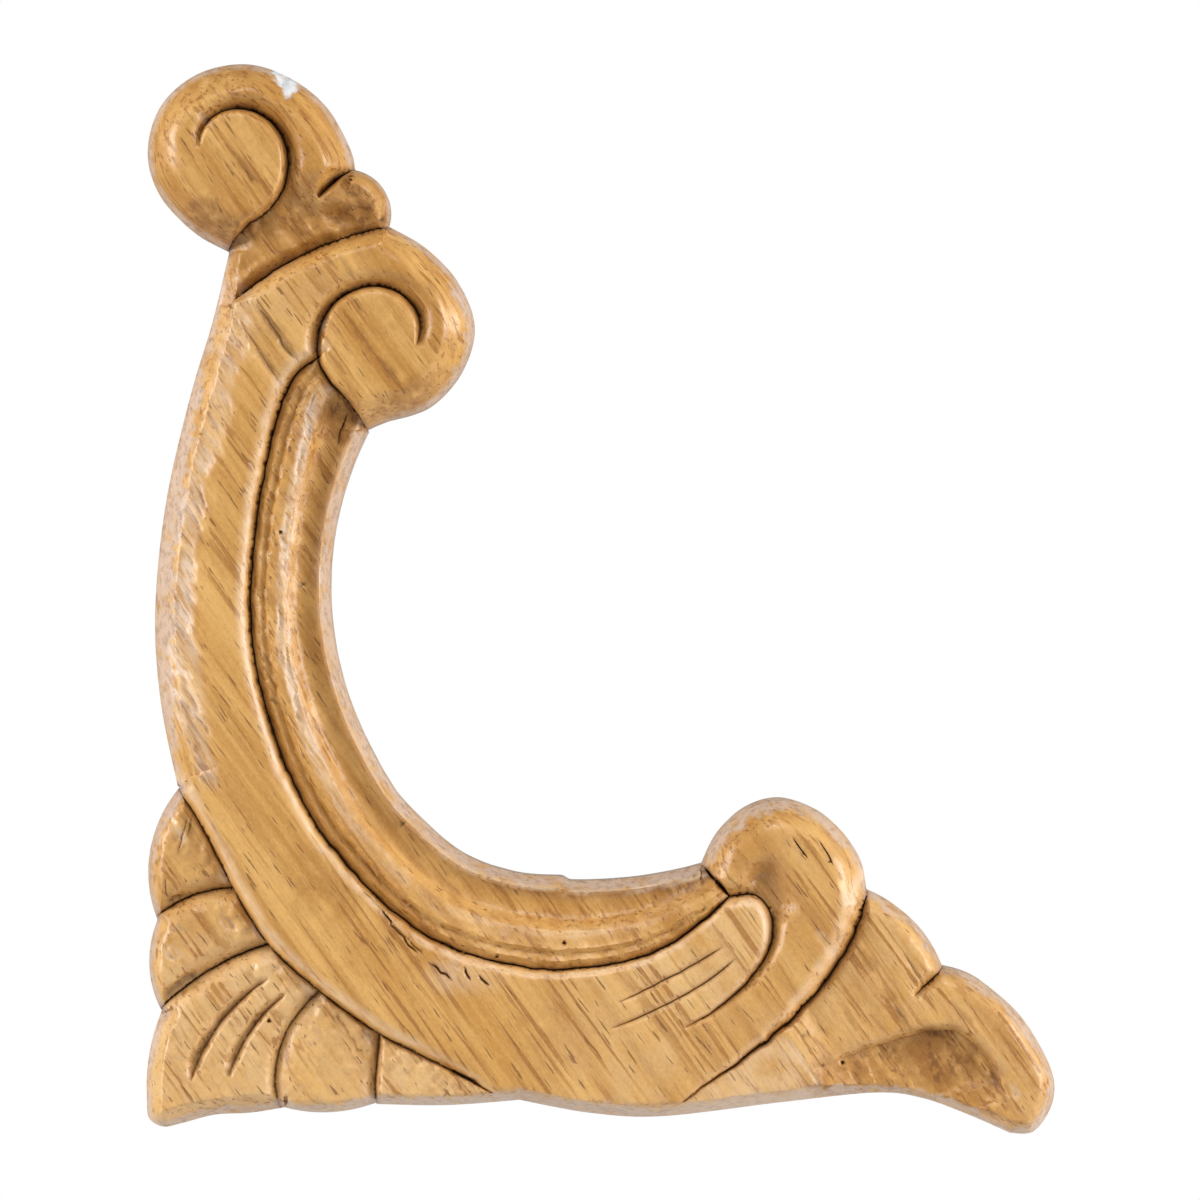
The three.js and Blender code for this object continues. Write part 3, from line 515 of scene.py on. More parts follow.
CRACKS = {
    "hook": [
        crack(0.11, 0.6, 0.07, 0.8, (60.1, 27.3), (61, 26), (61.8, 24.9)),
        crack(0.11, 0.6, 0.07, 0.8, (62.3, 27.3), (63.4, 25.7), (64.1, 24.3)),
    ],
    "tail": [
        # A pale line along the tail's crease, painted as a highlight
        crack(0.2, 0.1, 0.1, 0, (59.4, 8.7), (61, 6.6), (62.8, 3.8), pale=1),
        crack(0.22, 0.12, 0, 0.45, (66.4, 7), (66.9, 6.4)),
        crack(0.24, 0.12, 0, 0.5, (68.2, 7), (68.8, 6.2)),
        crack(0.2, 0.12, 0, 0.4, (69.4, 7.6), (69.9, 6.9)),
        crack(0.3, 0.12, 0, 0.4, (73.3, 9.1), (74, 8.5)),
        crack(0.36, 0.15, 0.1, 0.5, (78.7, 5.6), (79.2, 4.6), (79.3, 3.6)),
        crack(0.12, 0.12, 0.05, 0.35, (70.6, 16.4), (71.6, 14.6), (73, 12.4)),
    ],
    "leaf": [
        crack(0.14, 0.2, 0.08, 0.5, (4, 29.3), (3.5, 27.4), (3, 25.4)),
        crack(0.12, 0.2, 0.08, 0.5, (4.5, 29.6), (4.2, 28.2), (3.9, 26.9)),
        crack(0.12, 0.2, 0.08, 0.4, (1.9, 23.6), (1.9, 22.3), (2.1, 21)),
        crack(0.3, 0.35, 0.05, 0.5, (1.6, 20.9), (2.8, 21.5), (4.2, 21.9)),
        crack(0.45, 0.5, 0.08, 0.55, (1.4, 11.9), (3, 13.5), (5, 14.7)),
    ],
    "moulding": [
        crack(0.12, 0.25, 0.12, 0.5, (19.9, 22.6), (23.2, 19), (26.1, 16)),
        crack(0.17, 0.45, 0.28, 0.75, (21.8, 20.7), (23.7, 18), (25.6, 16.1)),
        crack(0.17, 0.6, 0.24, 0.85, (26.3, 15.5), (27.6, 14.7), (28.8, 13.6)),
        crack(0.16, 0.6, 0.2, 0.85, (29.7, 15.2), (30, 14.4), (30.4, 13.7)),
        crack(0.15, 0.6, 0.16, 0.85, (31, 14.4), (31.5, 13.8), (32.2, 13.3)),
    ],
    "end_of_leaf": [crack(0.22, 0.4, 0.2, 1, (28.6, 5.4), (30, 4.7), (31.4, 4))],
    "neck": [crack(0.13, 0.6, 0.2, 1, (7.6, 76.7), (8.3, 76.2))],
    "band": [
        crack(0.14, 0.35, 0.1, 0.7, (18.9, 67), (18.1, 64.7), (17.9, 63.3)),
        crack(0.22, 1.2, 0.2, 1, (51.7, 24.6), (53.2, 23.1), (54.3, 21.7)),
        crack(0.32, 0.3, 0.2, 0.35, (10.1, 77.2), (11.2, 75.6), (12, 74.5), (13.2, 72.4), (14.3, 71.4)),
    ],
}


def streak(half, dark, *ends):
    """A broad dark streak in the grain: half its width, its darkness and the line between its ends."""
    return half, dark, Line(shaken(through(*ends), 0.1, ends[0][0], 0.9))


STREAKS = {
    "volute": [
        streak(0.24, 0.5, (7.7, 91.4), (10.5, 88.1)),
        streak(0.22, 0.45, (6, 97.1), (6.9, 96)),
        streak(0.26, 0.4, (3.9, 94.6), (4.9, 93.3)),
    ],
    "scroll": [
        streak(0.28, 0.45, (16.4, 81.5), (17.9, 80)),
        streak(0.24, 0.5, (18, 81.3), (19.5, 79)),
        streak(0.22, 0.5, (18.6, 75.8), (21.6, 71.8)),
        streak(0.26, 0.55, (21.2, 72.3), (24.1, 68.6)),
        streak(0.2, 0.4, (17, 72.4), (18.7, 70.2)),
    ],
    "band": [
        streak(0.4, 0.5, (10.8, 76), (14.1, 71.8)),
        streak(0.2, 0.4, (7.7, 71.9), (8.9, 70.4)),
        streak(0.22, 0.4, (10.4, 72.6), (12, 70.2)),
    ],
    "tail": [
        streak(0.36, 0.45, (66.1, 17.1), (68.4, 14.3)),
        streak(0.24, 0.5, (68.3, 14.5), (71.2, 9.2)),
        streak(0.24, 0.4, (65.1, 10.8), (66.2, 9.2)),
        streak(0.24, 0.45, (67.6, 10.5), (69.2, 8.7)),
        streak(0.26, 0.4, (74.9, 11.9), (77.3, 9.1)),
        streak(0.26, 0.45, (62.4, 8.3), (63.7, 6.9)),
    ],
}

# Small holes left by worms and pins: places on the plan, and their size
HOLES = [(14.8, 50.7), (12.1, 39.8), (39, 17.3), (11.5, 10), (28.8, 5.3), (22, 84.6), (32.8, 16.1),
         (12.6, 55.5), (23.9, 28.3), (61.3, 8.6), (64.9, 6.1)]
HOLE_RADIUS = 0.2
HOLE_DEPTH = 0.6

# Rough places where splinters came off: middle, half length, half width and depth
CHIPS = {
    "volute": ((12.6, 98), (2.2, 1), 0.9),
    "volute_side": ((14.3, 97), (0.9, 0.7), 0.6),
    "volute_groove": ((5.6, 93.8), (1.3, 0.7), 0.4),
    "second_lobe": ((3, 18.6), (1.3, 0.8), 0.4),
    "second_lobe_low": ((2.5, 16.3), (1.2, 0.9), 0.35),
    "second_lobe_right": ((8, 19.3), (1.7, 1.1), 0.3),
    "first_lobe": ((3.5, 27.2), (2.4, 1.2), 0.3),
    "fold": ((21.8, 90.4), (0.8, 0.5), 0.3),
    "neck": ((9.2, 78.1), (1.6, 0.9), 0.35),
    "band_top": ((9.3, 72.8), (1.8, 0.8), 0.35),
    "corner_of_first_lobe": ((7.2, 23.8), (1.2, 0.7), 0.2),
    "corner_of_second_lobe": ((10.4, 18.3), (1.5, 0.8), 0.2),
    "corner_of_third_lobe": ((15.3, 12.9), (1.3, 0.8), 0.2),
    "corner_of_fourth_lobe": ((20.7, 8.5), (1.2, 0.7), 0.2),
    "hook_side": ((63.4, 17.2), (2, 0.6), 0.2),
    "end_of_lobe": ((12.6, 14.9), (1.2, 0.7), 0.3),
    "tail_tip": ((81, 3.4), (1.3, 0.5), 0.25),
}
PAINTED_CHIP = "volute"

# Section of the inner moulding: share of the way across, share of the climb to its top
MOULDING_ACROSS = [0, 0.03, 0.1, 0.18, 0.23, 0.29, 0.36, 0.43, 0.5, 0.57, 0.66, 0.76, 0.82, 0.87, 1]
MOULDING_CLIMB = [0.68, 0.74, 0.93, 0.84, 1, 0.94, 0.92, 0.86, 0.66, 0.46, 0.4, 0.39, 0.42, 0.6, 0.62]

# The outline as one ring, with the edge that each of its points belongs to
RING = Line(*[line for _, _, _, line in OUTLINE.values()], OUTLINE["upper_volute"][3][:1])
INNER_EDGE = Line(swirl(48.8, 50.7, 31.4, 31.5, 138, 153), OUTLINE["inner_edge"][3],
                  OUTLINE["inner_edge_of_foot"][3])


def loop(*parts):
    """A closed loop of the plan, made of lines and of single corners."""
    return np.vstack([part.xy if isinstance(part, Line) else np.array([part]) * PERCENT for part in parts])


BACKWARDS = {name: Line(CUTS[name]["line"].xy[::-1]) for name in ("hook", "scroll")}
AREAS = {
    "neck": loop(CUTS["neck"]["line"], (30, 84), (30, 105), (-5, 105), (-5, 76)),
    "moulding": loop(CUTS["band"]["line"], (51.6, 24.9), (48, 35), (35, 50), (33, 65),
                     Line(BACKWARDS["scroll"].xy[: len(BACKWARDS["scroll"].xy) * 2 // 5])),
    "leaf": loop(CUTS["leaf"]["line"], (34.5, 2.4), (34.5, -5), (-5, -5), (-5, 31.9)),
    "tail": loop(CUTS["hook"]["line"], (48, -5), (92, -5), (92, 25), (67.5, 25)),
    "hook": loop(CUTS["thumb"]["line"], (48.6, 1.4), BACKWARDS["hook"], (75, 25), (75, 38), (45, 38),
                 (51.6, 24.8), (53, 23.1)),
}
EYE = loop(CUTS["volute"]["line"], (7.5, 80), (-5, 80), (-5, 91))


def areas_of(points):
    """The name of the area that each point lies in."""
    names = np.full(len(points), "band", dtype="<U8")
    for name in reversed(AREAS):
        names[inside(points, AREAS[name])] = name
    return names


def past_crease(points):
    """Distance to the right of the crease where the tail begins to fall, in millimetres."""
    start, end = np.array(CREASE) * PERCENT
    way = (end - start) / np.hypot(*(end - start))
    gap = points - start
    return way[0] * gap[:, 1] - way[1] * gap[:, 0]


def in_hollow(points, area):
    """How far into the hollow of the tail each point lies: 0 outside it and 1 well inside."""
    distance, side, _, _ = CUTS["tail_hollow"]["line"].near(points)
    start = rise(points[:, 0] / PERCENT, 61, 1.5)
    return (area == "tail") * (side < 0) * rise(distance, 0, 0.7) * start


def roughness(points, area):
    """How torn and how unevenly carved each point's surroundings are."""
    x, y = points.T / PERCENT
    from_edge, _, along, _ = Line(OUTLINE["outer_edge"][3]).near(points)
    ridge = TORN_WAY + 0.5 * ripple(along / 7, 15)
    half = TORN_HALF + 0.6 * ripple(along / 3, 17)
    torn = soft(clamp(1.6 - 1.3 * np.abs(from_edge - ridge) / half))
    torn *= (area == "band") * rise(y, 31, 3) * mix(1, 0.45, rise(y, 58, 6))
    torn *= fall(y, 79, 5)
    from_splinters = np.hypot(*((np.array([x, y]).T - SPLINTERED_MIDDLE) / SPLINTERED_HALF).T)
    torn = np.maximum(torn, (area == "band") * 0.8 * soft(clamp(1 - from_splinters)))
    from_cut = CUTS["band"]["line"].near(points)[0]
    cove = rise(from_cut, COVE_START, 0.5) * fall(from_cut, COVE_END, 0.5) * (area == "moulding")
    torn = np.maximum(torn, mix(0.2, 0.95, rise(y, 26, 14)) * cove)
    carved = np.select([area == name for name in AREAS_CARVED], list(AREAS_CARVED.values()), BAND_CARVED)
    on_volute = (area == "neck") * np.maximum(rise(y, 86, 3), inside(points, EYE))
    carved = mix(carved, VOLUTE_CARVED, on_volute)
    by_leaf_cut = soft(clamp(1.3 - CUTS["leaf"]["line"].near(points)[0] / 3.5))
    carved = carved + 1.4 * by_leaf_cut * (area == "leaf")
    return torn, mix(carved, HOLLOW_CARVED, in_hollow(points, area))


def uncut(points, area):
    """Height of the surface before anything is cut into it."""
    x, y = points.T / PERCENT
    top = mix(BAND_TOP, SCROLL_TOP, rise(y, *SCROLL_RISE))
    for name, height in {"tail": TAIL_TOP, "hook": HOOK_TOP}.items():
        top[area == name] = height
    top = np.where(area == "leaf", mix(LEAF_TOP, LEAF_END_TOP, rise(x, *LEAF_RISE)), top)
    neck = mix(NECK_TOP, VOLUTE_TOP, rise(y, *NECK_RISE))
    from_bud = np.hypot(*(points / PERCENT - BUD_MIDDLE).T) / BUD_REACH
    neck = np.maximum(neck, mix(LEAF_WALL, BUD_TOP, rounded(clamp(1 - from_bud))))
    neck[inside(points, EYE)] = VOLUTE_TOP
    top = np.where(area == "neck", neck, top)
    k = np.flatnonzero(area == "moulding")
    from_cut = CUTS["band"]["line"].near(points[k])[0]
    from_edge = INNER_EDGE.near(points[k])[0]
    across = from_cut / np.maximum(from_cut + from_edge, 1e-6)
    top[k] = mix(MOULDING_BASE, MOULDING_TOP, np.interp(across, MOULDING_ACROSS, MOULDING_CLIMB))
    return top


def scoop_gouges(points, area, top):
    """Scoop the gouged hollows out of the surface."""
    for half, depth, ends, within, line in GOUGES.values():
        k = line.within(points, half)
        k = k[area[k] == within]
        distance, _, along, _ = line.near(points[k])
        reach = clamp(1 - (distance / half) ** 2) ** 2
        top[k] -= depth * reach * clamp(np.minimum(along, line.length - along) / ends)


def tear(points, area, top):
    """Pull fibres out of the torn places, leave tool marks, and say how torn each point looks; the wood
    paints this pale, as torn fibres and as a painted highlight.
    """
    x, y = points.T
    along_grain, across_grain = points @ GRAIN, points @ GRAIN_ACROSS
    torn_here, carved_here = roughness(points, area)
    bent = across_grain / 0.5 + 0.5 * noise(x, y / 2, 16)
    fibres = clamp(0.3 + 1.2 * noise(bent, along_grain / 4, 12))
    from_cut, _, along_cut, _ = CUTS["band"]["line"].near(points)
    bent = from_cut / 0.4 + 0.6 * noise(x, y, 16)
    lengthwise = clamp(0.3 + 1.2 * noise(bent, along_cut / 2.4, 12))
    fibres = np.where(area == "moulding", lengthwise, fibres)
    top -= torn_here * (TORN_DEPTH * fibres - 0.15) * np.where(area == "moulding", TORN_ON_MOULDING, 1)
    chatter = 0.11 * noise(across_grain / 1.3, along_grain / 3.4, 13)
    top += carved_here * (chatter + 0.09 * noise(x / 0.75, y / 0.75, 14))
    return clamp(torn_here * (0.4 + 0.8 * fibres))


def mark_by(mark, value, k=slice(None)):
    """Raise a mark to the value at the points k, where it isn't higher already."""
    mark[k] = np.maximum(mark[k], value)


def make_cuts(points, area, top, height, marks):
    """Make every cut; mark the painted shade in its slit and beside it, and its side that is worn pale and
    painted with a highlight.
    """
    for order, one in enumerate(CUTS.values()):
        line = one["line"]
        k = line.within(points, 1.3 * max(*one["left"][:2], *one["right"][:2]))
        if one["within"]:
            k = k[area[k] == one["within"]]
        distance, side, along, _ = line.near(points[k])
        wander = noise(along / 2.3, np.full(len(k), order + 0.5), 3)
        full = np.ones(len(k))
        for room, length in zip((along, line.length - along), one["fade"]):
            if length:
                full = np.minimum(full, clamp(room / length) ** one["onset"])
        floor = top[k] - one["depth"] if one["depth"] else np.minimum(one["floor"], top[k])
        floor = mix(top[k], floor, full)
        for turn, (start, end, ease) in ((1, one["left"]), (-1, one["right"])):
            width = mix(start, end, along / line.length) * mix(FADED_WIDTH, 1, full)
            width *= 1 + 0.1 * wander
            own = (side == turn) & (distance < width)
            climb = ease(distance[own] / width[own])
            height[k[own]] = np.minimum(height[k[own]], mix(floor[own], top[k][own], climb))
            worn_and_highlit_side = one["rubbed_and_highlit"] == turn
            # The rubbed side is worn pale and painted with a highlight
            rub_and_highlight = full * clamp(2.2 - 2.2 * distance / width) * (distance > 0.3 * width) * worn_and_highlit_side
            mark_by(marks["rubbed_and_highlit"], rub_and_highlight[own], k[own])
            # Painted shade beside the slit, darkest at the bottom of the cut
            reach = np.minimum(0.75 * width, CUT_SHADE_BY_PALE_SIDE if worn_and_highlit_side else CUT_SHADE_REACH)
            cut_shade = full * clamp(1 - distance / reach) * one["slit"] ** 0.5
            mark_by(marks["cut_shade"], cut_shade[own], k[own])
        slit = clamp(1.1 - distance / (SLIT_HALF * mix(0.7, 1, full) * (1 + 0.3 * wander)))
        slit *= clamp(3 * full) if one["cracked"] else full
        height[k] -= one["slit"] * slit * mix(0.4, 1, full)
        # Paint the slit dark as shade at the bottom of the cut
        mark_by(marks["slit"], slit * min(1, one["slit"] / 0.4), k)


def open_cracks(points, height, marks):
    """Open the cracks and the small holes and paint shade inside them, paint the pale cracks as a
    highlight, and darken the streaks of the grain.
    """
    for half, depth, dark, pale, line in sum(CRACKS.values(), []):
        k = line.within(points, half)
        distance, _, along, _ = line.near(points[k])
        room = np.minimum(along, line.length - along)
        opened = clamp(1.2 - distance / half) * rise(room, 0, min(CRACK_END, line.length / 3))
        height[k] -= depth * opened
        # Paint the crack dark as shade inside it, and the pale ones as a highlight
        mark_by(marks["slit"], dark * opened, k)
        mark_by(marks["chipped_and_highlit"], pale * opened, k)
    for middle in HOLES:
        away = np.hypot(*(points - np.array(middle) * PERCENT).T) / HOLE_RADIUS
        opened = clamp(1.5 - 1.5 * away / 1.3)
        height -= HOLE_DEPTH * opened
        # Paint the hole dark as shade inside it
        mark_by(marks["slit"], opened)
    for half, dark, line in sum(STREAKS.values(), []):
        distance, _, along, _ = line.near(points)
        room = np.minimum(along, line.length - along)
        width = half * (0.35 + rise(room, 0, STREAK_END)) * (1 + 0.35 * ripple(along / 0.8, 31))
        mark_by(marks["streak"], dark * clamp(1.5 - distance / width))


def rub_and_highlight_edges(points, area, marks):
    """Paint the arris of the moulding and the slope beside the tail's crease pale, as wear and as a
    painted highlight.
    """
    from_edge = INNER_EDGE.near(points)[0]
    arris = soft(clamp(1 - np.abs(from_edge - ARRIS_WAY) / ARRIS_HALF)) * (area == "moulding")
    mark_by(marks["rubbed_and_highlit"], arris)
    mark_by(marks["rubbed_and_highlit"], 0.45 * (area == "tail") * (past_crease(points) < 0))
    mark_by(marks["chipped_and_highlit"], 0.8 * arris)


def round_edges(points, top, height, marks):
    """Round the carving off to the wall along the outline, and mark the pale strip: worn varnish and
    painted sheen.
    """
    distance, _, along, _ = RING.near(points)
    starts = [RING.near(line[:1])[2][0] for _, _, _, line in OUTLINE.values()] + [RING.length]
    ragged = 1 + 0.25 * ripple(along / 2.1, 6) + 0.25 * ripple(along / 0.6, 7)
    for (name, (edge, wall, ease, _)), first, last in zip(OUTLINE.items(), starts, starts[1:]):
        part = (along >= first) & (along <= last)
        way = clamp((along - first) / (last - first))
        taper = EDGE_TAPERS.get(name, (1, 1))
        width = edge * np.interp(way, np.linspace(0, 1, len(taper)), taper)
        width *= 1 + 0.08 * ripple(along / 3.1, 4)
        j = part & (distance < width)
        low = np.minimum(wall, height[j])
        height[j] = np.minimum(height[j], mix(low, top[j], ease(distance[j] / width[j])))
        wide = np.interp(way, np.linspace(0, 1, len(STRIPS[name])), STRIPS[name])
        marks["strip"][part] = clamp((wide * ragged - distance)[part] / STRIP_BLUR + 0.5)


def break_chips(points, height, marks):
    """Break the chips out of the surface. One of them has white paint in it."""
    x, y = points.T
    for order, (name, (middle, halves, depth)) in enumerate(CHIPS.items()):
        gap = points - np.array(middle) * PERCENT
        away = np.hypot(gap @ GRAIN / halves[0], gap @ GRAIN_ACROSS / halves[1])
        away += 0.5 * noise(x / 0.8, y / 0.8, 20 + order)
        if name == PAINTED_CHIP:
            marks["paint"] = clamp(1.5 * clamp(3.6 - 3.6 * away))
        fibres = noise(points @ GRAIN_ACROSS / 0.45, points @ GRAIN / 1.6, 40 + order)
        scoop = clamp(1.6 - 1.6 * away) * clamp(0.6 + 1.1 * fibres)
        height -= depth * scoop
        mark_by(marks["chipped_and_highlit"], scoop)


def relief(points):
    """Height of the finished carving at each point, its marks of wear and of painted shade and highlights,
    and the point's area.
    """
    area = areas_of(points)
    top = uncut(points, area)
    x, y = points.T
    top += 0.05 * noise(x / 4, y / 4, 1)
    top += 0.03 * noise(points @ GRAIN_ACROSS / 0.9, points @ GRAIN / 9, 2)
    scoop_gouges(points, area, top)
    tail = area == "tail"
    sloped = mix(BAND_TOP - CREASE_DROP, top, clamp(past_crease(points) / CREASE_SLOPE))
    top[tail] = sloped[tail]
    names = ("slit", "strip", "cut_shade", "rubbed_and_highlit", "chipped_and_highlit", "streak")
    marks = {name: np.zeros(len(points)) for name in names}
    marks["torn"] = tear(points, area, top)
    height = top.copy()
    make_cuts(points, area, top, height, marks)
    open_cracks(points, height, marks)
    rub_and_highlight_edges(points, area, marks)
    round_edges(points, top, height, marks)
    break_chips(points, height, marks)
    return height, marks, area


class Room:
    """A fine grid over the plan that knows where a new point would lie too close to a taken one."""

    def __init__(self, room):
        self.low = RING.xy.min(0) - 1
        cells = np.ceil((RING.xy.max(0) + 1 - self.low) / ROOM_GRID).astype(int)
        self.closed = np.zeros(cells, bool)
        self.reach = int(room / ROOM_GRID)
        way = np.arange(-self.reach, self.reach + 1)
        self.disc = np.hypot(way[:, None], way) * ROOM_GRID < room

    def cells_of(self, points):
        return ((points - self.low) / ROOM_GRID).astype(int)

    def free(self, points):
        return ~self.closed[tuple(self.cells_of(points).T)]

    def close(self, points):
        for i, j in self.cells_of(points):
            low_i, low_j = i - self.reach, j - self.reach
            self.closed[low_i : low_i + len(self.disc), low_j : low_j + len(self.disc)] |= self.disc


def even_net(step):
    """Points in rows, each an even step from its neighbours."""
    low, high = RING.xy.min(0), RING.xy.max(0)
    row_height = step * math.sqrt(3) / 2
    rows = []
    for i in range(int((high[1] - low[1]) / row_height)):
        x = np.arange(low[0] + (i % 2) * step / 2, high[0], step)
        rows.append(np.column_stack([x, np.full(len(x), low[1] + i * row_height)]))
    return np.vstack(rows)


def rows_of_carving():
    """Rows of points along all that is carved."""
    rows = []
    for one in CUTS.values():
        line = one["line"]
        rows += [line.row(away) for away in (0, SLIT_HALF, -SLIT_HALF)]
        for share in SHOULDER_ROWS:
            rows.append(line.row(share * np.array(one["left"][:2])))
            rows.append(line.row(-share * np.array(one["right"][:2])))
    for half, _, _, _, line in sum(CRACKS.values(), []):
        rows += [line.row(away) for away in (0, half, -half)]
    for half, _, line in sum(STREAKS.values(), []):
        rows += [line.row(share * half) for share in STREAK_ROWS]
    for edge, _, _, line in OUTLINE.values():
        rows += [Line(line).row(-share * edge) for share in EDGE_ROWS]
    foot = INNER_EDGE.row()
    _, _, _, start = CUTS["band"]["line"].near(foot)
    rows += [mix(start, foot, share) for share in MOULDING_ACROSS[1:-1]]
    return rows


def plan_points():
    """Points of the mesh: the outline first, then rows along what is carved, then even nets."""
    rim = RING.row()[:-1]
    rows = rows_of_carving()
    whose = np.repeat(np.arange(len(rows)), [len(row) for row in rows])
    stacked = np.vstack(rows)
    kept = inside(stacked, RING.xy)
    stacked, whose = stacked[kept], whose[kept]
    stacked = stacked[RING.near(stacked)[0] > ROW_ROOM]
    tight, loose = Room(ROW_ROOM), Room(OPEN_ROOM)
    tight.close(rim)
    loose.close(rim)
    points = [rim]
    for point in stacked[:, None]:
        if tight.free(point)[0]:
            tight.close(point)
            loose.close(point)
            points.append(point)
    for step, room, fine in ((ROUGH_STEP, tight, True), (MESH_STEP, loose, False)):
        net = even_net(step)
        net = net[inside(net, RING.xy)]
        net = net[room.free(net)]
        torn, carved = roughness(net, areas_of(net))
        is_rough = (torn > 0.05) | (carved > 0.7)
        points.append(net[is_rough == fine])
    return np.vstack(points), len(rim)


def carved_front():
    """The plan of the carved front in triangles that face the viewer, and its rim in order."""
    points, rim = plan_points()
    found = delaunay_2d_cdt([Vector(p) for p in points], [], [list(range(rim))], 1, 1e-7)
    plan = np.array([tuple(p) for p in found[0]])
    faces = np.array(found[2])
    turn = turn_of(*(plan[faces[:, k]] for k in range(3)))
    faces[turn < 0] = faces[turn < 0][:, ::-1]
    sides = {(int(face[k]), int(face[k - 2])) for face in faces for k in range(3)}
    after = {a: b for a, b in sides if (b, a) not in sides}
    ring = [min(after)]
    while after[ring[-1]] != ring[0]:
        ring.append(after[ring[-1]])
    return plan, faces, np.array(ring)


def spread(values, faces, times):
    """The values smoothed over the mesh, each time a little further."""
    pairs = np.vstack([faces[:, [0, 1]], faces[:, [1, 2]], faces[:, [2, 0]]])
    pairs = np.vstack([pairs, pairs[:, ::-1]])
    count = np.bincount(pairs[:, 0], minlength=len(values))
    for _ in range(times):
        around = np.bincount(pairs[:, 0], values[pairs[:, 1]], minlength=len(values))
        values = mix(values, around / np.maximum(count, 1), 0.5)
    return values


def wall_of(plan, ring, height):
    """Rows of vertices down the upright side, from under the carved front to the back."""
    ahead = np.roll(plan[ring], -1, axis=0) - np.roll(plan[ring], 1, axis=0)
    outward = ahead[:, ::-1] * [1, -1] / np.hypot(*ahead.T)[:, None]
    way = np.arange(len(ring)) * ROW_STEP
    walls = []
    for share in WALL_ROWS:
        up = height[ring] * share
        wobble = WALL_STRAY * noise(way / 1.6, up / 1.2 + 9, 5) * math.sin(math.pi * share)
        moved = wobble - (BACK_INSET if share == 0 else 0)
        xy = plan[ring] + outward * moved[:, None]
        walls.append(np.column_stack([xy[:, 0], -up, xy[:, 1]]))
    return walls


def back_of(rim):
    """Triangles of the flat back, facing away from the viewer, as places in its rim."""
    back = delaunay_2d_cdt([Vector(p) for p in rim], [], [list(range(len(rim)))], 1, 1e-7)
    if len(back[0]) != len(rim):
        raise RuntimeError("the back's outline crosses itself")
    original = [int(found[0]) for found in back[3]]
    faces = [[original[k] for k in face] for face in back[2]]
    return [face[::-1] if turn_of(*rim[face]) > 0 else face for face in faces]


def onlay():
    """The whole onlay as one closed mesh, with what its material needs to know at each vertex."""
    plan, faces, ring = carved_front()
    height, marks, area = relief(plan)
    walls = wall_of(plan, ring, height)
    count = len(ring)
    rows = [ring] + [len(plan) + i * count + np.arange(count) for i in range(len(walls))]
    quads = []
    for upper, lower in zip(rows, rows[1:]):
        quads.append(np.column_stack([upper, lower, np.roll(lower, -1), np.roll(upper, -1)]))
    back = [rows[-1][face].tolist() for face in back_of(walls[-1][:, [0, 2]])]
    vertices = np.vstack([np.column_stack([plan[:, 0], -height, plan[:, 1]]), *walls])
    polygons = faces.tolist() + np.vstack(quads).tolist() + back
    on_wall = np.ones(len(vertices) - len(plan))
    values = {name: np.r_[numbers, 0 * on_wall] for name, numbers in marks.items()}
    values |= {
        "side": np.r_[np.zeros(len(plan)), on_wall],
        "stain_and_shade": np.r_[spread(stain_and_shade_of(plan, area), faces, SMOOTHINGS), 0.5 * on_wall],
        "faded": np.r_[spread(fading_of(plan, area), faces, SMOOTHINGS), 0 * on_wall],
    }
    return vertices, polygons, values


# Places painted darker: middle, half width and how dark. Some are painted shade, as marked; the others are
# stains.
DARKENED_PLACES = {
    # The first three are painted shade on the bottom of the upper volute; the last is a light darkening
    # lower down
    "volute": [((7.8, 83.8), 3, 0.9), ((5.6, 84.9), 3, 0.95), ((10.5, 84.2), 2, 0.8),
               ((14.8, 78), 4, 0.4)],
    # Painted shade in the bud's hollow
    "bud": [((19.5, 85.2), 2.6, 1), ((22.3, 84.7), 1.3, 1)],
    # Painted shade on the middle scroll's lower edge and under it, and a light darkening over the scroll
    "scroll": [((14.5, 66.5), 3, 0.8), ((18.2, 65.8), 3, 1), ((25.5, 68.7), 2.6, 0.75),
               ((24, 74), 7, 0.45), ((27.2, 67), 2.4, 0.8), ((23.5, 65.6), 2, 0.8)],
    "moulding": [((17, 23.5), 4.5, 0.7), ((22, 17), 4, 0.5), ((48.6, 23), 2.6, 0.9),
                 ((44, 21.3), 2.4, 0.7), ((51, 22.9), 1.6, 1)],
    "leaf": [((28, 4.6), 3, 0.6), ((5.2, 25), 2.6, 0.5)],
    "foot": [((46, 4), 4, 0.5), ((38.5, 8.6), 5, 0.6)],
    "hook": [((58.2, 22.8), 3.4, 0.62), ((57.5, 28), 5, 0.55), ((63.5, 19), 2.6, 0.5)],
    "tail": [((63.3, 5), 2.4, 1), ((62.8, 4.6), 2, 0.9), ((63.6, 5.9), 1.3, 1), ((66, 5.2), 2.4, 0.9),
             ((66, 6.8), 1.4, 0.9), ((70, 5.5), 3, 0.9), ((69.5, 7.7), 1.2, 0.9), ((72.7, 8.2), 1.6, 1),
             ((74, 6.5), 3, 1), ((77, 6.3), 2.4, 0.9), ((80, 3.2), 1.6, 0.8), ((79.2, 4.7), 1.4, 1)],
}


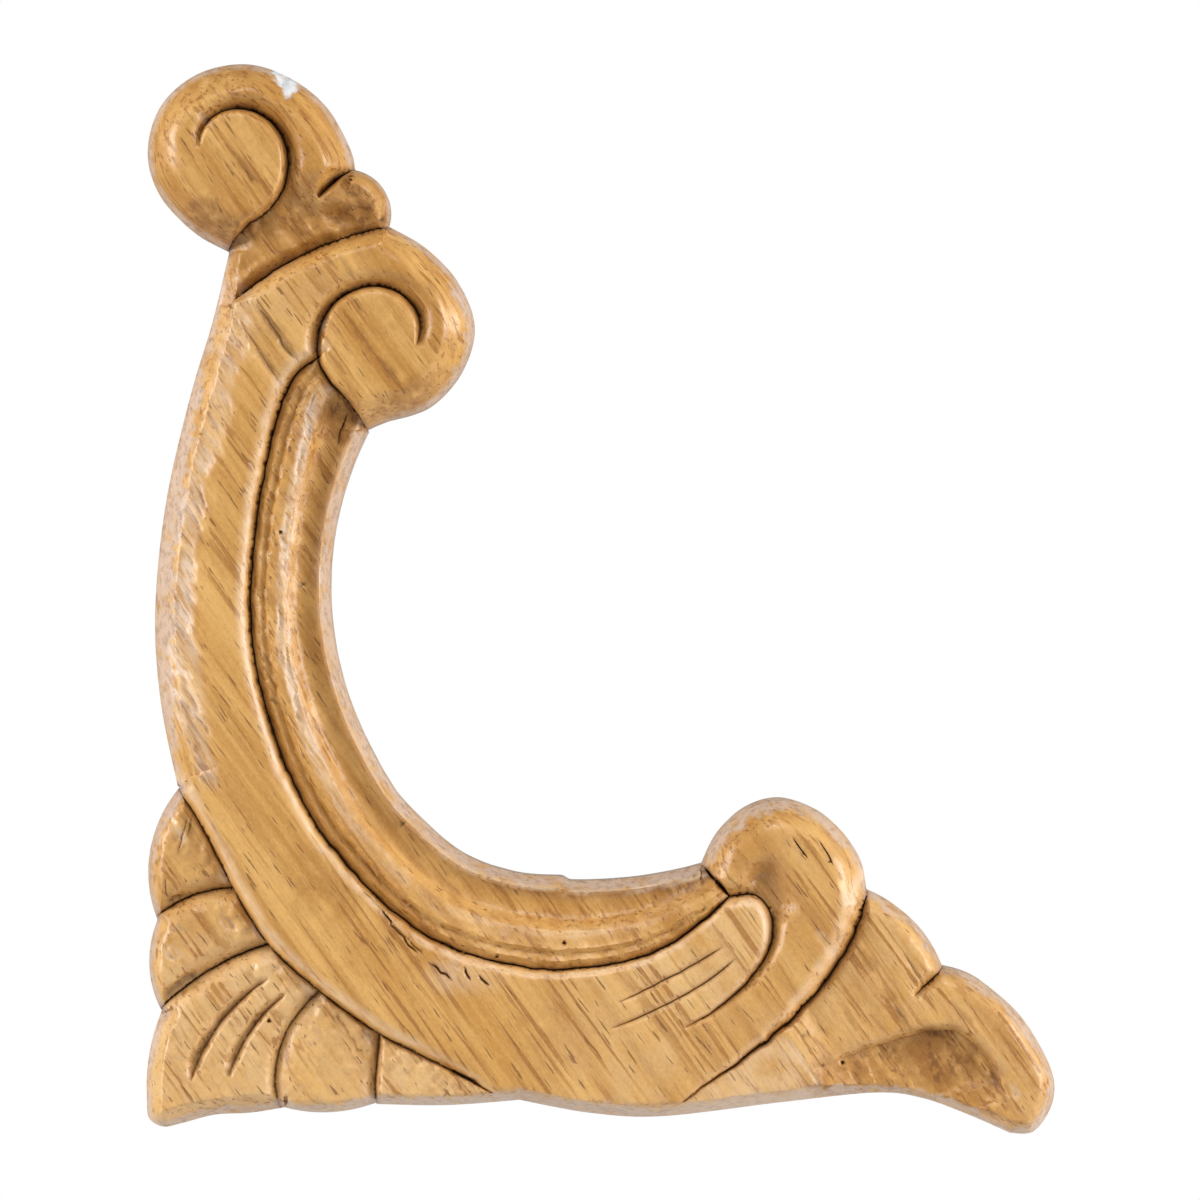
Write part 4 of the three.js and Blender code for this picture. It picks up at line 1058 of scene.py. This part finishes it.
def stain_and_shade_of(points, area):
    """How dark the old varnish is, with painted shade in some places: 0 is the palest of it and 1 the
    darkest.
    """
    stain_and_shade = np.zeros(len(points))
    for name, dark in STAINS.items():
        stain_and_shade[area == name] = dark
    x, y = points.T / PERCENT
    stain_and_shade[(area == "neck") & ((y > 88) | inside(points, EYE))] = VOLUTE_STAIN
    stain_and_shade = np.maximum(stain_and_shade, in_hollow(points, area) * mix(0.72, 0.45, rise(x, 76, 6)))
    # The darkened places add stains and, in some, painted shade
    for middle, half, dark in sum(DARKENED_PLACES.values(), []):
        away = np.hypot(*(points - np.array(middle) * PERCENT).T) / half
        away += 0.3 * noise(points[:, 0] / 1.7, points[:, 1] / 1.7, 18)
        stain_and_shade = np.maximum(stain_and_shade, dark * soft(clamp(1.6 - away)))
    return stain_and_shade


def fading_of(points, area):
    """How much the varnish has faded: most on the leaf and the foot of the band."""
    x, y = points.T / PERCENT
    foot = fall(y, 34, 12) * rise(x, 32, 14)
    leaf = mix(0.6, 0.12, rise(y, 15, 6))
    band_top = rise(y, 70, 5) * fall(y, 82, 3) * fall(x, 20, 4)
    band = np.maximum(0.5 * foot, 0.3 * band_top)
    faded = np.select([area == "leaf", area == "band", area == "hook"], [leaf, band, 0.15 * foot], 0)
    faded = np.maximum(faded, 0.35 * (area == "tail") * (1 - in_hollow(points, area)))
    return faded * (1 + 0.4 * noise(x / 5, y / 5, 19))


def place(vertices):
    """The vertices in metres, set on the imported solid: same outer corner, height and thickness."""
    low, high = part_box("corner_onlay")
    scale = (high.z - low.z) / np.ptp(RING.xy[:, 1])
    depth = (high.y - low.y) / THICKNESS
    x = low.x + (vertices[:, 0] - RING.xy[:, 0].min()) * scale
    y = high.y + vertices[:, 1] * depth
    z = low.z + (vertices[:, 2] - RING.xy[:, 1].min()) * scale
    return np.column_stack([x, y, z])


def linear(red, green, blue):
    """A colour in linear light from the usual 0 to 255 values."""
    parts = [c / 255 for c in (red, green, blue)]
    return tuple(c / 12.92 if c <= 0.04045 else ((c + 0.055) / 1.055) ** 2.4 for c in parts) + (1,)


LIGHT = linear(222, 173, 102)
MIDDLE = linear(199, 146, 74)
BROWN = linear(164, 109, 44)
AMBER = linear(180, 122, 54)
GLINT = linear(232, 190, 124)
PORE = linear(112, 66, 26)
LONG_PORE = linear(146, 90, 34)
# Darkest stains, and painted shade where places are darkened
STAIN_AND_SHADE_DARK = linear(136, 88, 38)
FADED = linear(226, 188, 136)
# Pale edges: worn varnish, and painted sheen
WORN_AND_SHEEN = linear(204, 178, 158)
WORN_AND_SHEEN_DARK = linear(156, 128, 106)
# Worn pale shoulders, arrises and chips, with a painted highlight
PALE_WEAR_AND_HIGHLIGHT = linear(232, 202, 168)
# Torn fibres, with a painted highlight
TORN_AND_HIGHLIT = linear(236, 214, 192)
PAINT = linear(226, 228, 230)
# Painted shade beside the cuts
CUT_SHADE = linear(112, 68, 32)
# Painted shade in slits, cracks and holes
SHADE_IN_SLITS = linear(72, 42, 22)
BARE = linear(206, 186, 168)
BARE_DARK = linear(170, 146, 124)


class Nodes:
    """The nodes of one material, added one by one and joined as they are added."""

    def __init__(self, name):
        self.material = bpy.data.materials.new(name)
        self.material.use_nodes = True
        self.tree = self.material.node_tree
        self.tree.nodes.clear()

    def add(self, kind, inputs, output=0, **settings):
        node = self.tree.nodes.new(kind)
        for name, value in settings.items():
            setattr(node, name, value)
        for name, value in inputs.items():
            socket = node.inputs[name]
            if isinstance(value, bpy.types.NodeSocket):
                self.tree.links.new(value, socket)
            else:
                socket.default_value = value
        return node.outputs[output] if node.outputs else node

    def math(self, operation, first, second=0.0, held=False):
        return self.add("ShaderNodeMath", {0: first, 1: second}, operation=operation, use_clamp=held)

    def times(self, first, second):
        return self.math("MULTIPLY", first, second)

    def blend(self, factor, first, second, kind="MIX"):
        return self.add("ShaderNodeMix", {0: factor, 6: first, 7: second}, 2, data_type="RGBA",
                        blend_type=kind, clamp_factor=True)

    def ramp(self, value, low, high):
        """0 where the value is below low, 1 above high, and between them in between."""
        return self.add("ShaderNodeMapRange", {0: value, 1: low, 2: high, 3: 0.0, 4: 1.0}, clamp=True)

    def value(self, name):
        return self.add("ShaderNodeAttribute", {}, 2, attribute_name=name)

    def pattern(self, vector, size, detail=2.0, roughness=0.5, distortion=0.0):
        """Smooth noise whose spots are so many units long and wide."""
        along, across = size
        scaled = self.add("ShaderNodeVectorMath", {0: vector, 1: (1 / along, 1 / across, 1 / across)},
                          operation="MULTIPLY")
        return self.add("ShaderNodeTexNoise", {
            "Vector": scaled, "Scale": 1.0, "Detail": detail, "Roughness": roughness,
            "Distortion": distortion})


def wood():
    """Old varnished wood: bands and fibres along the grain, dark pores, painted shade in and beside the
    cuts and on a few darkened places, paler worn edges with painted sheen and highlights, and paler sides.
    Patterns are in millimetres along and across the grain."""
    n = Nodes("carved_wood")
    at = n.add("ShaderNodeTexCoord", {}, 3)
    turn = (0, -math.atan2(-GRAIN[1], GRAIN[0]), 0)
    grain = n.add("ShaderNodeMapping", {"Vector": at, "Rotation": turn, "Scale": (1000, 1000, 1000)})
    bands = n.pattern(grain, (70, 4.5), 2, 0.5, 0.3)
    streaks = n.pattern(grain, (40, 1.3), 2, 0.55)
    fibres = n.pattern(grain, (5, 0.28), 2, 0.6)
    speckle = n.pattern(grain, (0.5, 0.22), 3, 0.7)
    mottle = n.pattern(grain, (2.6, 2.2), 3, 0.6)

    def patchy(name, low, high, pattern=mottle):
        """A mark that shows more in some spots of the pattern than in others."""
        return n.times(n.value(name), n.ramp(pattern, low, high))

    clusters = n.ramp(n.pattern(grain, (22, 4), 1), 0.38, 0.56)
    long_lines = n.pattern(grain, (13, 0.5), 1, 0.35, 0.05)
    long_pores = n.times(n.ramp(long_lines, 0.6, 0.66), clusters)
    short_pores = n.ramp(n.pattern(grain, (3.2, 0.34), 1, 0.4), 0.68, 0.73)
    halos = n.times(n.ramp(long_lines, 0.5, 0.62), clusters)
    # The darkest stains, with painted shade among them
    darkest_stain_and_shade = n.ramp(n.value("stain_and_shade"), 0.62, 1)
    flecks = n.times(n.ramp(n.pattern(grain, (1.5, 0.9), 2, 0.6), 0.54, 0.62), darkest_stain_and_shade)
    # Pale edges: worn varnish with painted sheen
    worn_and_sheen = n.blend(n.ramp(n.pattern(grain, (1.1, 0.7), 3, 0.65), 0.48, 0.72), WORN_AND_SHEEN, WORN_AND_SHEEN_DARK)
    # Torn fibres, painted pale with a highlight
    torn_and_highlit_tufts = patchy("torn", 0.32, 0.54, n.pattern(grain, (4, 0.35), 3, 0.6))
    # Painted shade beside the cuts
    shade_by_cuts = patchy("cut_shade", 0.1, 0.6)
    bare = n.blend(n.ramp(mottle, 0.35, 0.65), BARE, BARE_DARK)
    layers = (
        (BROWN, n.ramp(streaks, 0.48, 0.64), 0.5),
        (GLINT, n.ramp(streaks, 0.45, 0.3), 0.35),
        # Stains, with painted shade in some darkened places
        (BROWN, patchy("stain_and_shade", 0.3, 0.7), 1),
        (BROWN, n.ramp(fibres, 0.5, 0.8), 0.25),
        (FADED, patchy("faded", 0.2, 0.6), 1),
        (AMBER, halos, 0.45),
        (LONG_PORE, long_pores, 0.6),
        (PORE, short_pores, 0.7),
        (PORE, patchy("streak", 0.2, 0.45, fibres), 1),
        (BROWN, n.ramp(speckle, 0.5, 0.75), 0.3),
        (GLINT, n.ramp(speckle, 0.5, 0.25), 0.25),
        # Darkest stains and painted shade, with flecks
        (STAIN_AND_SHADE_DARK, n.times(darkest_stain_and_shade, n.ramp(mottle, 0.3, 0.6)), 0.5),
        (PORE, flecks, 0.6),
        # Worn edges with painted sheen
        (worn_and_sheen, patchy("strip", 0.2, 0.5), 0.85),
        # Worn shoulders with a painted highlight
        (PALE_WEAR_AND_HIGHLIGHT, patchy("rubbed_and_highlit", 0.25, 0.6), 0.65),
        # Torn fibres with a painted highlight
        (TORN_AND_HIGHLIT, torn_and_highlit_tufts, 0.75),
        # Chips, and painted highlights on the moulding's arris and the tail's crease
        (PALE_WEAR_AND_HIGHLIGHT, n.value("chipped_and_highlit"), 0.6),
        # Painted shade beside the cuts
        (CUT_SHADE, shade_by_cuts, 0.75),
        (PAINT, patchy("paint", 0.42, 0.5), 1),
        # Painted shade in slits, cracks and holes
        (SHADE_IN_SLITS, n.value("slit"), 1),
        (bare, n.value("side"), 1),
    )
    colour = n.blend(n.ramp(bands, 0.35, 0.65), LIGHT, MIDDLE)
    for over, where, share in layers:
        colour = n.blend(n.times(where, share), colour, over)
    dull = n.math("MAXIMUM", shade_by_cuts, n.value("side"))
    dull = n.math("MAXIMUM", dull, n.math("MAXIMUM", n.value("torn"), darkest_stain_and_shade))
    rough = n.add("ShaderNodeMapRange", {0: mottle, 1: 0.3, 2: 0.7, 3: 0.34, 4: 0.5})
    rough = n.math("ADD", rough, n.times(dull, 0.3), True)
    pores = n.math("MAXIMUM", long_pores, short_pores)
    uneven = n.math("ADD", n.math("SUBTRACT", n.times(fibres, 0.5), pores), n.times(mottle, 0.8))
    bump = n.add("ShaderNodeBump", {"Height": uneven, "Strength": 0.6, "Distance": 0.0001})
    shader = n.add("ShaderNodeBsdfPrincipled", {
        "Base Color": colour, "Roughness": rough, "Normal": bump, "Specular IOR Level": 0.4,
        "Coat Weight": 0.22, "Coat Roughness": 0.25})
    n.add("ShaderNodeOutputMaterial", {"Surface": shader})
    return n.material


def make_onlay():
    """The carved piece, its marks kept as attributes that the wood reads."""
    vertices, polygons, values = onlay()
    mesh = bpy.data.meshes.new("carved_onlay")
    mesh.from_pydata(place(vertices), [], polygons)
    for name, numbers in values.items():
        mesh.attributes.new(name, "FLOAT", "POINT").data.foreach_set("value", numbers.astype(np.float32))
    mesh.shade_smooth()
    mesh.set_sharp_from_angle(angle=math.radians(SHARP_ANGLE))
    mesh.materials.append(wood())
    piece = bpy.data.objects.new("carved_onlay", mesh)
    bpy.context.scene.collection.objects.link(piece)
    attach(piece, "root")
    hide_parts("corner_onlay")


def area_light(name, where, size, power, target):
    """A round soft light that shines at the target."""
    light = bpy.data.lights.new(name, "AREA")
    light.shape = "DISK"
    light.size = size
    light.energy = power
    lamp = bpy.data.objects.new(name, light)
    lamp.location = where
    lamp.rotation_euler = (Vector(target) - Vector(where)).to_track_quat("-Z", "Y").to_euler()
    bpy.context.scene.collection.objects.link(lamp)


# The lights: place, size and power
LIGHTS = {
    "left_light": ((-0.7, -0.2, 0.2), 0.45, 5.5),
    "right_light": ((0.7, -0.2, 0.16), 0.45, 5.5),
    "top_light": ((0.03, -0.6, 0.8), 0.5, 4),
}


def make_studio():
    """Soft lights from both sides and above, a near-white room, and a small pale floor below."""
    centre = ((cad_box[0] + cad_box[1]) / 2)[:]
    for name, (where, size, power) in LIGHTS.items():
        area_light(name, where, size, power, centre)
    world = bpy.data.worlds.new("room")
    world.use_nodes = True
    nodes = world.node_tree.nodes
    sky = nodes["Background"]
    sky.inputs["Color"].default_value = (1, 1, 1, 1)
    path = nodes.new("ShaderNodeLightPath")
    seen = nodes.new("ShaderNodeMapRange")
    seen.inputs[3].default_value = ROOM_LIGHT
    seen.inputs[4].default_value = 1
    world.node_tree.links.new(path.outputs["Is Camera Ray"], seen.inputs[0])
    world.node_tree.links.new(seen.outputs[0], sky.inputs["Strength"])
    bpy.context.scene.world = world
    bpy.ops.mesh.primitive_cylinder_add(radius=FLOOR_RADIUS, depth=FLOOR_THICKNESS, vertices=96,
                                        location=(centre[0], centre[1], centre[2] - FLOOR_BELOW))
    floor = bpy.context.object
    floor.name = "floor"
    n = Nodes("pale_floor")
    cloudy = n.pattern(n.add("ShaderNodeTexCoord", {}, 3), (1, 1), 3)
    pale = n.blend(cloudy, (0.8, 0.8, 0.79, 1), (0.86, 0.86, 0.85, 1))
    shader = n.add("ShaderNodeBsdfPrincipled", {"Base Color": pale, "Roughness": 0.8})
    n.add("ShaderNodeOutputMaterial", {"Surface": shader})
    floor.data.materials.append(n.material)


def make_camera():
    """A long lens square to the carving, framed as the photo is."""
    camera = bpy.data.cameras.new("camera")
    camera.lens = LENS
    camera.sensor_width = SENSOR
    camera.clip_start = 0.01
    eye = bpy.data.objects.new("camera", camera)
    low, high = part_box("corner_onlay")
    metre = (high.z - low.z) / np.ptp(RING.xy[:, 1])
    x = low.x + (VIEW_CENTRE[0] - RING.xy[:, 0].min()) * metre
    z = low.z + (VIEW_CENTRE[1] - RING.xy[:, 1].min()) * metre
    eye.location = (x, (low.y + high.y) / 2 - VIEW_WIDTH * metre * LENS / SENSOR, z)
    eye.rotation_euler = (math.pi / 2, 0, 0)
    bpy.context.scene.collection.objects.link(eye)
    bpy.context.scene.camera = eye


make_onlay()
make_studio()
make_camera()
bpy.context.scene.view_settings.view_transform = "Standard"
